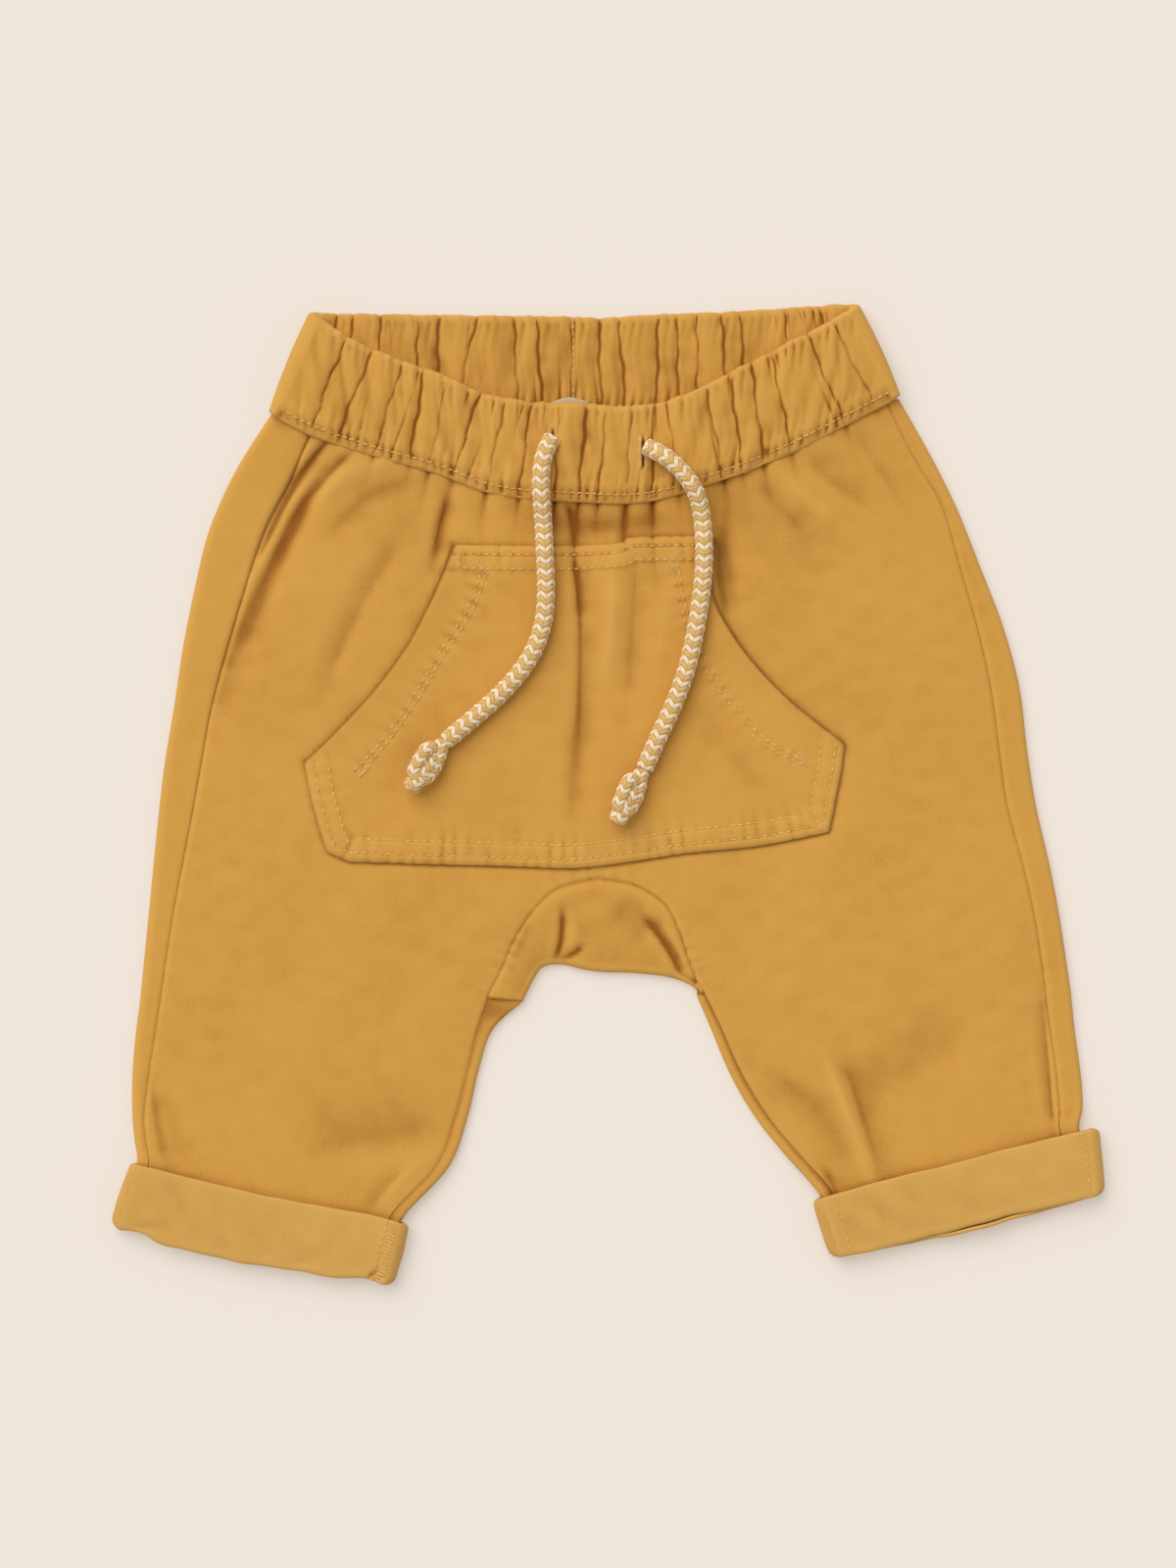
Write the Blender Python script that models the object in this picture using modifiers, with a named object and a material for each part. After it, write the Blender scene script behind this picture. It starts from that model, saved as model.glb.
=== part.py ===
"""Baby trousers with a gathered drawstring waist, a patch pocket and turned-up legs, laid flat on a surface.

The back of the garment rests on the plane z = 0, and the front lies on it. +X is to the right and +Y is
towards the waist, as seen from above. Tables are in millimetres; the objects are built in metres.
"""

import math

import bmesh
import bpy
import numpy as np

MM = 0.001

# Cloth and seams
CLOTH = 1.2
SEAM_GAP = 0.3
PANEL_GAP = SEAM_GAP + 0.1
POCKET_LIFT = CLOTH + SEAM_GAP + 0.15
WAIST_GAP = 0.7
BAND_WALL = 3.0
CUFF_WALL = 1.4
LABEL_THICK = 0.6

# Heights of the middle of a wall above the surface
BACK_Z = 0.5 * CLOTH
FRONT_EDGE_Z = 2.6
FRONT_LOFT = 1.8
LOFT_REACH = 18.0
WAIST_RISE = 1.3
WAIST_REACH = 14.0
BAND_BACK_Z = 0.5 * BAND_WALL
BAND_FRONT_Z = 6.5
EDGE_ROLL = 2.4
GATHER_SWELL = 0.85

# Leg ends inside the turn-ups
LEG_END_BACK_Z = CUFF_WALL + SEAM_GAP + 0.5 * CLOTH
LEG_END_FRONT_Z = LEG_END_BACK_Z + CLOTH + 1.0
CUFF_HEIGHT_Z = LEG_END_FRONT_Z + LEG_END_BACK_Z
CUFF_FOOT = CUFF_WALL + SEAM_GAP + CLOTH
CUFF_FOOT_RISE = 1.4

# Drawcord
CORD_DIAMETER = 6.2
CORD_CLEARANCE = 0.35
KNOT_WIDTH = 10.6
KNOT_HEIGHT = 9.0
KNOT_BLUNTNESS = 0.55
KNOT_WAIST = 0.14
KNOT_TURNS = 5.0
CORD_POINTS = 13
BAND_STEP_REACH = 3.0
BAND_STEP_WIDTH = 1.6
POCKET_STEP_Y = 88.5
POCKET_STEP_WIDTH = 1.2

# Grids
FRONT_COLUMNS = 14
BACK_COLUMNS = 12
ROLL_STEPS = 4
WRAP_STEPS = 3
GUSSET_ROLL = 1.6
GUSSET_END_GAP = 0.6
WAIST_ROWS = 3.0
SIDE_EASE = 6.0
BACK_EASE = 4.0
FLAT_END = 2.0
CREASE_END_DEPTH = 0.55
LEAST_STEP = 0.6
POCKET_COLUMNS = 20
POCKET_ROWS = 14
CUFF_COLUMNS = 14

# Sections down each half of the body, from the waist seam to the leg's end. Each row gives, in plan:
# the outline's edge, the side seam on the upper face, the front's inner edge, and the back's inner edge.
# Rows 0 to 6 run to the centre and rows 6 to 11 to the gusset's seam. The leg starts at row 12, and there
# the back goes round the inner edge to the inseam.
# raise is how far the leg's end has risen into the turn-up, from 0 to 1.
BODY_COLUMNS = ("edge_x", "edge_y", "seam_x", "seam_y", "front_x", "front_y", "back_x", "back_y", "raise")
APEX_ROW = 6
CROTCH_ROW = 11
LEFT_BODY = (
    (-116.0, 127.0, -101.3, 121.8, -3.3, 98.0, -12.3, 128.0, 0.0),
    (-126.7, 110.2, -108.3, 106.2, -3.3, 78.5, -11.7, 103.5, 0.0),
    (-135.7, 90.2, -116.7, 89.8, -3.3, 56.8, -10.7, 76.8, 0.0),
    (-140.7, 70.2, -123.7, 68.5, -3.3, 35.2, -9.3, 50.2, 0.0),
    (-144.7, 50.2, -129.3, 50.2, -3.3, 15.2, -8.0, 23.5, 0.0),
    (-147.7, 30.2, -134.7, 30.2, -3.3, -6.5, -6.7, -3.2, 0.0),
    (-151.0, 10.2, -138.3, 10.2, -3.3, -28.5, -3.3, -28.5, 0.0),
    (-153.0, -6.5, -141.3, -6.5, -17.3, -32.2, -17.3, -32.2, 0.0),
    (-154.7, -23.2, -144.7, -23.8, -26.3, -40.8, -26.3, -40.8, 0.0),
    (-156.3, -39.8, -147.7, -39.8, -32.0, -49.8, -32.0, -49.8, 0.0),
    (-158.0, -56.5, -150.3, -56.5, -36.0, -59.2, -36.0, -59.2, 0.0),
    (-159.2, -68.8, -152.2, -69.4, -40.4, -67.9, -40.4, -67.9, 0.0),
    (-159.4, -70.9, -152.4, -71.5, -40.9, -69.3, -28.7, -70.3, 0.0),
    (-161.0, -83.2, -154.3, -83.8, -44.3, -79.2, -39.0, -79.8, 0.0),
    (-162.0, -96.5, -156.3, -96.5, -47.7, -93.2, -43.8, -93.5, 0.0),
    (-162.0, -108.8, -157.8, -109.5, -52.0, -109.4, -47.6, -109.8, 0.1),
    (-161.2, -117.5, -157.2, -118.0, -58.3, -126.0, -53.9, -126.7, 0.45),
    (-160.2, -124.4, -156.2, -125.4, -72.9, -142.0, -68.9, -143.2, 1.0),
    (-161.9, -134.4, -157.9, -135.4, -76.6, -152.3, -72.6, -153.0, 1.0),
    (-163.4, -142.8, -159.4, -143.8, -79.4, -159.4, -75.4, -160.1, 1.0),
)
RIGHT_BODY = (
    (100.3, 132.5, 95.3, 132.2, -3.3, 98.0, -12.3, 128.0, 0.0),
    (110.7, 114.2, 104.0, 115.2, -3.3, 78.5, -11.7, 103.5, 0.0),
    (119.3, 96.8, 113.7, 98.5, -3.3, 56.8, -10.7, 76.8, 0.0),
    (127.0, 77.5, 120.0, 77.5, -3.3, 35.2, -9.3, 50.2, 0.0),
    (134.7, 57.5, 125.7, 57.5, -3.3, 15.2, -8.0, 23.5, 0.0),
    (140.3, 36.8, 130.3, 36.8, -3.3, -6.5, -6.7, -3.2, 0.0),
    (143.0, 15.2, 133.3, 15.2, -3.3, -28.5, -3.3, -28.5, 0.0),
    (146.0, -3.8, 136.0, -3.8, 9.3, -30.8, 9.3, -30.8, 0.0),
    (150.3, -22.5, 141.0, -22.5, 19.3, -37.2, 19.3, -37.2, 0.0),
    (153.7, -39.8, 145.0, -39.8, 24.3, -46.5, 24.3, -46.5, 0.0),
    (156.3, -56.5, 147.7, -56.5, 27.3, -55.8, 27.3, -55.8, 0.0),
    (157.9, -67.4, 149.2, -67.6, 30.2, -63.8, 30.2, -63.8, 0.0),
    (158.1, -69.6, 149.4, -69.8, 32.8, -67.4, 30.3, -68.4, 0.0),
    (159.2, -80.0, 150.7, -80.0, 38.2, -78.2, 34.7, -78.5, 0.0),
    (160.7, -91.0, 152.3, -91.0, 45.7, -94.8, 41.7, -95.2, 0.0),
    (161.7, -100.0, 153.3, -100.2, 54.4, -109.2, 50.2, -109.8, 0.1),
    (161.8, -107.0, 153.8, -107.4, 64.4, -121.4, 60.2, -122.4, 0.45),
    (160.6, -112.8, 153.6, -113.2, 75.4, -133.9, 71.4, -135.2, 1.0),
    (161.6, -121.5, 155.6, -122.2, 80.6, -144.2, 76.6, -145.2, 1.0),
    (162.6, -129.0, 156.6, -129.8, 82.6, -150.0, 78.6, -150.8, 1.0),
)

# Grid rows: two for each row of the table down to the crotch, then one.
TORSO_STEPS = np.linspace(0, CROTCH_ROW, 2 * CROTCH_ROW + 1)
ROW_STEPS = np.concatenate([TORSO_STEPS, np.arange(CROTCH_ROW + 1, len(LEFT_BODY))])

# The waist seam: the lower edge of the band's front, from the left corner to the right one, and of its back.
FRONT_SEAM = ((-111.8, 127.4), (-100.0, 121.5), (-78.7, 114.5), (-58.7, 109.0), (-41.7, 102.6), (-27.7, 100.2),
              (-6.7, 99.0), (6.0, 98.6), (18.7, 100.2), (35.7, 105.5), (50.7, 110.8), (67.7, 118.2),
              (81.7, 125.6), (96.2, 133.2))
FRONT_TOP = ((-97.6, 162.0), (-91.7, 157.5), (-84.0, 153.2), (-68.0, 146.8), (-58.7, 143.6), (-42.7, 136.6),
             (-26.7, 133.6), (-6.7, 132.8), (4.0, 131.6), (15.7, 133.0), (28.3, 136.6), (41.0, 143.2),
             (50.7, 148.2), (59.3, 152.8), (72.0, 158.9), (81.6, 164.4))
BACK_SEAM = ((-111.4, 129.2), (-68.0, 128.6), (-12.3, 128.4), (50.0, 131.0), (95.8, 134.4))
BACK_TOP = ((-97.3, 164.0), (-68.7, 163.5), (-42.0, 163.2), (-15.3, 162.8), (0.7, 162.5), (22.0, 163.8),
            (48.7, 164.8), (70.0, 166.4), (81.3, 166.8))

# Gathers of the band's front and back, left to right. The columns are top_x and low_x, where a trough meets
# the top and the lower edge, then width, top_depth and low_depth.
FRONT_GATHERS = (
    (-88.6, -101.5, 2.2, 0.9, 1.1),
    (-79.6, -92.6, 2.0, 1.0, 1.0),
    (-69.5, -79.6, 2.6, 0.8, 0.9),
    (-62.2, -67.4, 2.2, 1.2, 1.2),
    (-54.2, -61.0, 2.0, 0.2, 0.8),
    (-43.2, -53.0, 2.4, 1.1, 1.2),
    (-34.6, -41.4, 2.0, 0.3, 0.8),
    (-25.8, -30.4, 2.4, 1.1, 1.1),
    (-16.6, -18.2, 2.0, 0.5, 1.0),
    (-7.0, -10.0, 2.4, 1.2, 1.2),
    (-0.4, -3.4, 1.8, 0.3, 0.7),
    (8.0, 6.2, 1.8, 0.3, 0.8),
    (15.6, 15.2, 2.4, 1.3, 1.3),
    (20.0, 24.2, 1.8, 1.0, 0.5),
    (31.0, 36.0, 2.2, 0.5, 0.6),
    (41.6, 45.8, 2.2, 0.8, 0.8),
    (48.6, 53.2, 2.2, 1.1, 1.0),
    (55.4, 62.4, 2.2, 1.2, 1.1),
    (67.4, 80.8, 2.4, 1.2, 0.9),
    (75.6, 91.4, 2.4, 0.6, 0.5),
)
BACK_GATHERS = (
    (-92.0, -100.0, 2.2, 1.0, 0.8),
    (-86.0, -92.0, 2.0, 0.9, 0.6),
    (-77.6, -77.8, 2.2, 1.0, 1.0),
    (-64.7, -64.7, 2.2, 0.9, 0.9),
    (-57.4, -58.4, 2.4, 1.1, 1.0),
    (-44.3, -52.6, 2.4, 1.0, 0.9),
    (-32.0, -30.4, 2.2, 0.7, 0.8),
    (-24.3, -21.9, 2.2, 1.1, 1.1),
    (-12.3, -12.3, 1.6, 0.6, 0.6),
    (-3.2, -2.0, 2.2, 1.0, 1.0),
    (3.6, 6.4, 2.2, 0.9, 0.9),
    (17.2, 16.6, 2.2, 1.0, 1.0),
    (23.3, 24.4, 2.0, 0.9, 0.9),
    (30.4, 30.6, 2.2, 1.1, 1.1),
    (38.7, 41.0, 2.2, 0.9, 0.9),
    (45.0, 47.4, 2.2, 0.8, 0.8),
    (60.0, 64.0, 2.2, 0.8, 0.6),
    (72.0, 80.0, 2.2, 0.9, 0.6),
)

# Soft creases of the front cloth. The columns are x0, y0, x1 and y1, the ends of its line, then width and
# depth, which is negative for a ridge.
CREASES = (
    (-97.0, 118.0, -107.0, 102.0, 5.0, 1.2),
    (-107.0, 102.0, -123.7, 65.0, 6.0, 1.2),
    (-102.7, 96.8, -116.7, 70.8, 5.0, 0.8),
    (-66.7, 88.8, -98.7, 32.8, 8.0, 0.6),
    (-53.3, 104.0, -57.7, 82.0, 4.5, 1.0),
    (-15.0, 96.0, -13.0, 86.0, 4.5, 0.9),
    (5.3, 96.0, 5.5, 86.5, 4.5, 0.9),
    (-11.0, 84.0, -7.7, 65.0, 5.0, 0.9),
    (-7.7, 65.0, -11.3, 2.0, 6.0, 1.1),
    (2.7, 54.0, 1.0, 20.0, 6.0, 0.6),
    (40.0, 103.0, 80.0, 83.0, 12.0, 0.6),
    (-154.0, -107.0, -152.3, -124.0, 5.0, 0.8),
    (-96.7, -121.0, -62.0, -117.0, 9.0, 0.6),
    (-72.0, -127.0, -78.0, -141.0, 5.0, 1.0),
    (61.3, -96.0, 73.0, -112.0, 7.0, 1.1),
    (73.0, -112.0, 90.0, -131.0, 7.0, 1.2),
    (84.0, -102.0, 97.0, -120.0, 8.0, -0.6),
    (118.0, -83.0, 88.0, -98.0, 14.0, 0.6),
    (147.7, -76.5, 151.0, -116.0, 4.5, 0.7),
)

# The gusset's fold at the crotch, from the left end to the right one. Its seam is the body's inner edge.
GUSSET_FOLD = ((-28.3, -69.4), (-25.6, -64.0), (-22.0, -58.9), (-15.4, -58.0), (-8.6, -59.6), (-2.0, -60.6),
               (6.0, -60.8), (13.0, -61.3), (20.0, -62.2), (25.0, -63.6), (28.6, -65.2), (31.0, -67.2))

# The pocket's sides, top to bottom, and its top and bottom edges, left to right.
POCKET_LEFT = ((-52.7, 84.5), (-56.6, 74.0), (-61.6, 62.8), (-68.7, 49.6), (-79.2, 35.4), (-91.0, 22.6),
               (-103.0, 10.8), (-100.4, -2.0), (-97.6, -12.0), (-95.2, -19.4), (-88.0, -22.6))
POCKET_RIGHT = ((36.0, 86.2), (34.8, 76.0), (36.2, 66.0), (41.6, 55.4), (50.6, 43.4), (62.6, 31.2),
                (80.3, 17.2), (79.4, 9.0), (77.8, 1.0), (76.4, -6.4), (75.0, -12.6))
POCKET_TOP = ((-52.7, 84.5), (-34.0, 84.2), (-16.3, 84.2), (5.3, 85.6), (29.0, 87.0), (36.0, 86.2))
POCKET_BOTTOM = ((-88.0, -22.6), (-60.0, -23.5), (-34.0, -24.2), (-11.3, -24.8), (9.7, -22.4), (27.0, -19.8),
                 (53.3, -17.0), (75.0, -12.6))

# The turn-ups: top edge and folded lower edge, from the left end to the right one.
CUFF_LEFT_TOP = ((-159.0, -126.4), (-151.0, -128.2), (-137.3, -131.8), (-119.0, -136.0), (-101.0, -139.6),
                 (-81.0, -143.0), (-70.8, -145.9))
CUFF_LEFT_LOW = ((-166.3, -148.0), (-157.3, -150.0), (-144.0, -155.0), (-127.0, -158.8), (-107.0, -162.0),
                 (-86.0, -165.0), (-76.2, -166.7))
CUFF_RIGHT_TOP = ((73.0, -137.4), (91.0, -132.2), (112.3, -127.0), (132.0, -121.8), (151.7, -116.8),
                  (164.0, -114.2))
CUFF_RIGHT_LOW = ((79.6, -157.4), (95.0, -154.8), (114.0, -151.6), (134.0, -146.8), (154.0, -141.2),
                  (166.0, -136.8))

# The drawcords' routes from the buttonholes to the knots, in plan, and the knots' ends.
LEFT_CORD = ((-18.3, 121.5), (-21.6, 115.4), (-22.7, 105.5), (-21.9, 93.5), (-21.3, 81.0), (-20.9, 69.5),
             (-21.8, 58.2), (-25.2, 48.5), (-30.6, 40.3), (-38.3, 32.2), (-46.8, 24.8), (-55.4, 17.6))
RIGHT_CORD = ((12.3, 118.2), (19.3, 114.6), (26.0, 108.4), (30.6, 100.8), (32.2, 92.0), (32.7, 80.8),
              (31.9, 69.0), (29.8, 55.6), (26.8, 42.6), (22.2, 30.0), (16.8, 18.6), (12.2, 8.0))
LEFT_KNOT = ((-56.4, 16.9), (-66.6, 0.8))
RIGHT_KNOT = ((11.5, 6.9), (2.0, -9.8))
LABEL_SIZE = (12.4, 12.0)
LABEL_CENTRE = (-12.8, 128.4)

MUSTARD = (0.64, 0.33, 0.075)
MUSTARD_REVERSE = (0.64, 0.38, 0.10)
CORD_CREAM = (0.74, 0.55, 0.25)
LABEL_GREY = (0.52, 0.46, 0.36)


def clear_scene():
    for obj in list(bpy.data.objects):
        bpy.data.objects.remove(obj, do_unlink=True)


def finish(name, colour, roughness):
    material = bpy.data.materials.new(name)
    material.use_nodes = True
    shader = material.node_tree.nodes["Principled BSDF"]
    shader.inputs["Base Color"].default_value = (*colour, 1.0)
    shader.inputs["Roughness"].default_value = roughness
    shader.inputs["Metallic"].default_value = 0.0
    return material


def curve_at(points, t):
    """Points of the smooth curve through a table's rows, for t from 0 at its first row to 1 at its last."""
    table = np.asarray(points, float)
    t = np.clip(np.atleast_1d(t), 0.0, 1.0) * (len(table) - 1)
    i = np.minimum(t.astype(int), len(table) - 2)
    f = (t - i)[:, None]
    before = table[np.maximum(i - 1, 0)]
    start = table[i]
    end = table[i + 1]
    after = table[np.minimum(i + 2, len(table) - 1)]
    slope_0 = 0.5 * (end - before)
    slope_1 = 0.5 * (after - start)
    cube = f * f * f
    square = f * f
    return ((2 * cube - 3 * square + 1) * start + (cube - 2 * square + f) * slope_0
            + (3 * square - 2 * cube) * end + (cube - square) * slope_1)


def even_curve(points, count):
    """That many points, the same distance apart along the curve."""
    fine = curve_at(points, np.linspace(0, 1, 20 * len(points)))
    length = np.concatenate([[0], np.cumsum(np.linalg.norm(np.diff(fine, axis=0), axis=1))])
    wanted = np.linspace(0, length[-1], count)
    return np.stack([np.interp(wanted, length, fine[:, axis]) for axis in range(fine.shape[1])], axis=1)


def y_on(curve, x):
    """The curve's y at each x, for a curve that runs left to right."""
    fine = curve_at(curve, np.linspace(0, 1, 300))
    return np.interp(x, fine[:, 0], fine[:, 1])


def body_sections(table, steps):
    """The table's columns at each step, a row number with its fraction. The inner edges turn sharply at the
    apex of the gusset, and the leg starts afresh, so each stretch is a curve of its own."""
    steps = np.asarray(steps, float)
    table = np.asarray(table, float)
    values = np.zeros((len(steps), table.shape[1]))
    last = len(table) - 1
    outer = slice(0, 4)
    inner = slice(4, 9)
    for first, end, columns in ((0, CROTCH_ROW, outer), (CROTCH_ROW + 1, last, outer), (0, APEX_ROW, inner),
                                (APEX_ROW, CROTCH_ROW, inner), (CROTCH_ROW + 1, last, inner)):
        chosen = (steps >= first) & (steps <= end)
        part = table[first:end + 1, columns]
        values[chosen, columns] = curve_at(part, (steps[chosen] - first) / (end - first))
    return values


def outline():
    """The body's outer edge in plan, as one closed ring of points."""
    last = len(LEFT_BODY) - 1
    torso = np.linspace(0, CROTCH_ROW, 60)
    leg = np.linspace(CROTCH_ROW + 1, last, 40)
    steps = np.concatenate([torso, leg])
    left = body_sections(LEFT_BODY, steps)
    right = body_sections(RIGHT_BODY, steps)
    left_leg = body_sections(LEFT_BODY, leg)[::-1, 6:8]
    right_leg = body_sections(RIGHT_BODY, leg)[:, 6:8]
    fold = curve_at(GUSSET_FOLD, np.linspace(0, 1, 30))
    return np.concatenate([left[:, 0:2], left_leg, fold, right_leg, right[::-1, 0:2]])


OUTLINE = outline()


def edge_distance(x, y):
    """Distance in plan from each point to the body's outer edge."""
    point = np.stack([np.ravel(x), np.ravel(y)], axis=1)[:, None]
    start = OUTLINE[:-1][None]
    along = (OUTLINE[1:] - OUTLINE[:-1])[None]
    length = np.maximum((along**2).sum(-1), 1e-9)
    t = np.clip(((point - start) * along).sum(-1) / length, 0, 1)
    nearest = start + t[..., None] * along
    return np.linalg.norm(point - nearest, axis=-1).min(axis=1).reshape(np.shape(x))


def crease_depth(x, y):
    """How far the creases lower the front cloth."""
    total = np.zeros(np.shape(x))
    for x0, y0, x1, y1, width, depth in CREASES:
        along = np.array((x1 - x0, y1 - y0))
        t = np.clip(((x - x0) * along[0] + (y - y0) * along[1]) / (along @ along), 0, 1)
        away = np.hypot(x - x0 - t * along[0], y - y0 - t * along[1])
        share = CREASE_END_DEPTH + (1 - CREASE_END_DEPTH) * np.sin(math.pi * t)
        total = total + depth * share * np.exp(-((away / width) ** 2))
    return total


def upper_z(x, y, raised=0.0):
    """Height of the middle of the upper cloth. It drops towards the outline and rises at the waist seam."""
    x = np.asarray(x, float)
    y = np.asarray(y, float)
    loft = FRONT_LOFT * (1 - np.exp(-edge_distance(x, y) / LOFT_REACH))
    waist = WAIST_RISE * np.exp(-np.maximum(y_on(FRONT_SEAM, x) - y, 0.0) / WAIST_REACH)
    flat = FRONT_EDGE_Z + loft + waist - crease_depth(x, y)
    return flat + raised * (LEG_END_FRONT_Z - flat)


def under_z(raised):
    """Height of the middle of the cloth that rests on the surface, or on the turn-up's back."""
    return BACK_Z + raised * (LEG_END_BACK_Z - BACK_Z)


def grid_object(name, grid, material):
    """Cloth on a grid of points, in millimetres. The grid's faces point to the cloth's outer side."""
    rows, columns = grid.shape[:2]
    shape = bmesh.new()
    verts = [[shape.verts.new(tuple(point * MM)) for point in row] for row in grid]
    for i in range(rows - 1):
        for j in range(columns - 1):
            shape.faces.new((verts[i][j], verts[i + 1][j], verts[i + 1][j + 1], verts[i][j + 1]))
    return cloth_object(name, shape, material)


def cloth_object(name, shape, material):
    """The shape as an object with the cloth's thickness, half of it on each side."""
    mesh = bpy.data.meshes.new(name)
    shape.to_mesh(mesh)
    shape.free()
    obj = add_object(name, mesh, material)
    wall = obj.modifiers.new("Cloth", "SOLIDIFY")
    wall.thickness = CLOTH * MM
    wall.offset = 0.0
    return obj


def ring_object(name, sections, material):
    """A solid ring of closed sections: stations x section points, in millimetres."""
    stations, count = sections.shape[:2]
    shape = bmesh.new()
    verts = [[shape.verts.new(tuple(point * MM)) for point in section] for section in sections]
    for i in range(stations):
        following = verts[(i + 1) % stations]
        for j in range(count):
            k = (j + 1) % count
            shape.faces.new((verts[i][j], following[j], following[k], verts[i][k]))
    bmesh.ops.recalc_face_normals(shape, faces=shape.faces)
    mesh = bpy.data.meshes.new(name)
    shape.to_mesh(mesh)
    shape.free()
    return add_object(name, mesh, material)


def add_object(name, mesh, material):
    mesh.shade_smooth()
    mesh.materials.append(material)
    obj = bpy.data.objects.new(name, mesh)
    TROUSERS.objects.link(obj)
    return obj


def section_rows(table):
    """The body's sections at each grid row, as a dictionary of columns."""
    values = body_sections(table, ROW_STEPS)
    return {column: values[:, i] for i, column in enumerate(BODY_COLUMNS)}


def waist_share():
    """How much each grid row takes part in the curve of the waist seam, from 1 at the seam to 0."""
    return np.clip(1 - ROW_STEPS / WAIST_ROWS, 0, 1) ** 2


def front_half(table, side):
    """Rows of points from the side seam to the front's inner edge, the first row along the waist seam."""
    rows = section_rows(table)
    u = np.linspace(0, 1, FRONT_COLUMNS)
    seam_x = rows["seam_x"] - side * 0.5 * SEAM_GAP
    x = seam_x[:, None] * (1 - u) + rows["front_x"][:, None] * u
    y = rows["seam_y"][:, None] * (1 - u) + rows["front_y"][:, None] * u
    y = y + waist_share()[:, None] * (y_on(FRONT_SEAM, x[0]) - WAIST_GAP - y[0]) * np.minimum(1, SIDE_EASE * u)
    z = upper_z(x, y, rows["raise"][:, None])
    return np.stack([x, y, z], axis=-1)


def build_front(material):
    """One piece from side seam to side seam. Its two halves share the centre line down to the gusset."""
    left = front_half(LEFT_BODY, -1)
    right = front_half(RIGHT_BODY, 1)
    shared = int((ROW_STEPS <= APEX_ROW).sum())
    shape = bmesh.new()
    left_verts = [[shape.verts.new(tuple(point * MM)) for point in row] for row in left]
    right_verts = [[shape.verts.new(tuple(point * MM)) for point in row] for row in right]
    for i in range(shared):
        shape.verts.remove(right_verts[i][-1])
        right_verts[i][-1] = left_verts[i][-1]
    for i in range(len(ROW_STEPS) - 1):
        for j in range(FRONT_COLUMNS - 1):
            quad = (left_verts[i][j], left_verts[i + 1][j], left_verts[i + 1][j + 1], left_verts[i][j + 1])
            shape.faces.new(quad)
            quad = (right_verts[i + 1][j + 1], right_verts[i + 1][j], right_verts[i][j], right_verts[i][j + 1])
            shape.faces.new(quad)
    return cloth_object("front", shape, material)


def roll(edge, inward, top, bottom, reach):
    """Points round a folded edge, from the upper cloth to the lower one. edge and inward are in plan."""
    middle = 0.5 * (top + bottom)
    half = 0.5 * (top - bottom)
    points = []
    for step in range(ROLL_STEPS + 1):
        angle = math.pi * (0.5 - step / ROLL_STEPS)
        plan = edge + inward * reach * (1 - math.cos(angle))
        points.append((plan[0], plan[1], middle + half * math.sin(angle)))
    return points


def torso_end(inner, across, low):
    """The last points of a section that ends on the surface, at the centre back or at the gusset."""
    end = inner - across * PANEL_GAP
    far = end - across * FLAT_END
    line = []
    for t in np.linspace(0, 1, ROLL_STEPS + 1)[1:]:
        plan = far + t * (end - far)
        line.append((plan[0], plan[1], low))
    return far, line


def leg_end(inner, front, across, low, raised):
    """The last points of a leg's section, which goes round the inner edge and ends at the inseam."""
    strip = np.linalg.norm(inner - front)
    reach = min(EDGE_ROLL - 0.9 * raised, 0.45 * strip)
    end = inner - across * 0.5 * CLOTH
    far = end - across * reach
    seam_end = front + across * PANEL_GAP
    height = float(upper_z(seam_end[0], seam_end[1], raised))
    line = roll(end, -across, height, low, reach)[::-1][1:-1]
    line.append((seam_end[0], seam_end[1], height))
    return far, line


def build_back(name, table, side, material):
    """A back leg: from the side seam round the outline, over the surface and, in the leg, up to the inseam."""
    rows = section_rows(table)
    grid = []
    for i, step in enumerate(ROW_STEPS):
        edge = np.array((rows["edge_x"][i], rows["edge_y"][i]))
        seam = np.array((rows["seam_x"][i] + side * 0.5 * SEAM_GAP, rows["seam_y"][i]))
        inner = np.array((rows["back_x"][i], rows["back_y"][i]))
        front = np.array((rows["front_x"][i], rows["front_y"][i]))
        raised = rows["raise"][i]
        low = under_z(raised)
        across = (inner - edge) / np.linalg.norm(inner - edge)
        reach = EDGE_ROLL - 0.9 * raised
        outer = edge + across * 0.5 * CLOTH
        shoulder = outer + across * reach
        line = []
        for t in np.linspace(0, 1, WRAP_STEPS, endpoint=False):
            plan = seam + t * (shoulder - seam)
            line.append((plan[0], plan[1], float(upper_z(plan[0], plan[1], raised))))
        top = float(upper_z(shoulder[0], shoulder[1], raised))
        line += roll(outer, across, top, low, reach)
        if step > CROTCH_ROW:
            far, ending = leg_end(inner, front, across, low, raised)
        else:
            far, ending = torso_end(inner, across, low)
        for t in np.linspace(0, 1, BACK_COLUMNS)[1:]:
            plan = shoulder + t * (far - shoulder)
            to_seam = float(y_on(BACK_SEAM, plan[0])) - SEAM_GAP - plan[1] if i == 0 else 0.0
            line.append((plan[0], plan[1] + to_seam * min(1.0, BACK_EASE * t), low))
        line += ending
        grid.append(line)
    grid = np.array(grid)
    if side > 0:
        grid = grid[:, ::-1]
    return grid_object(name, grid, material)


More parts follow.
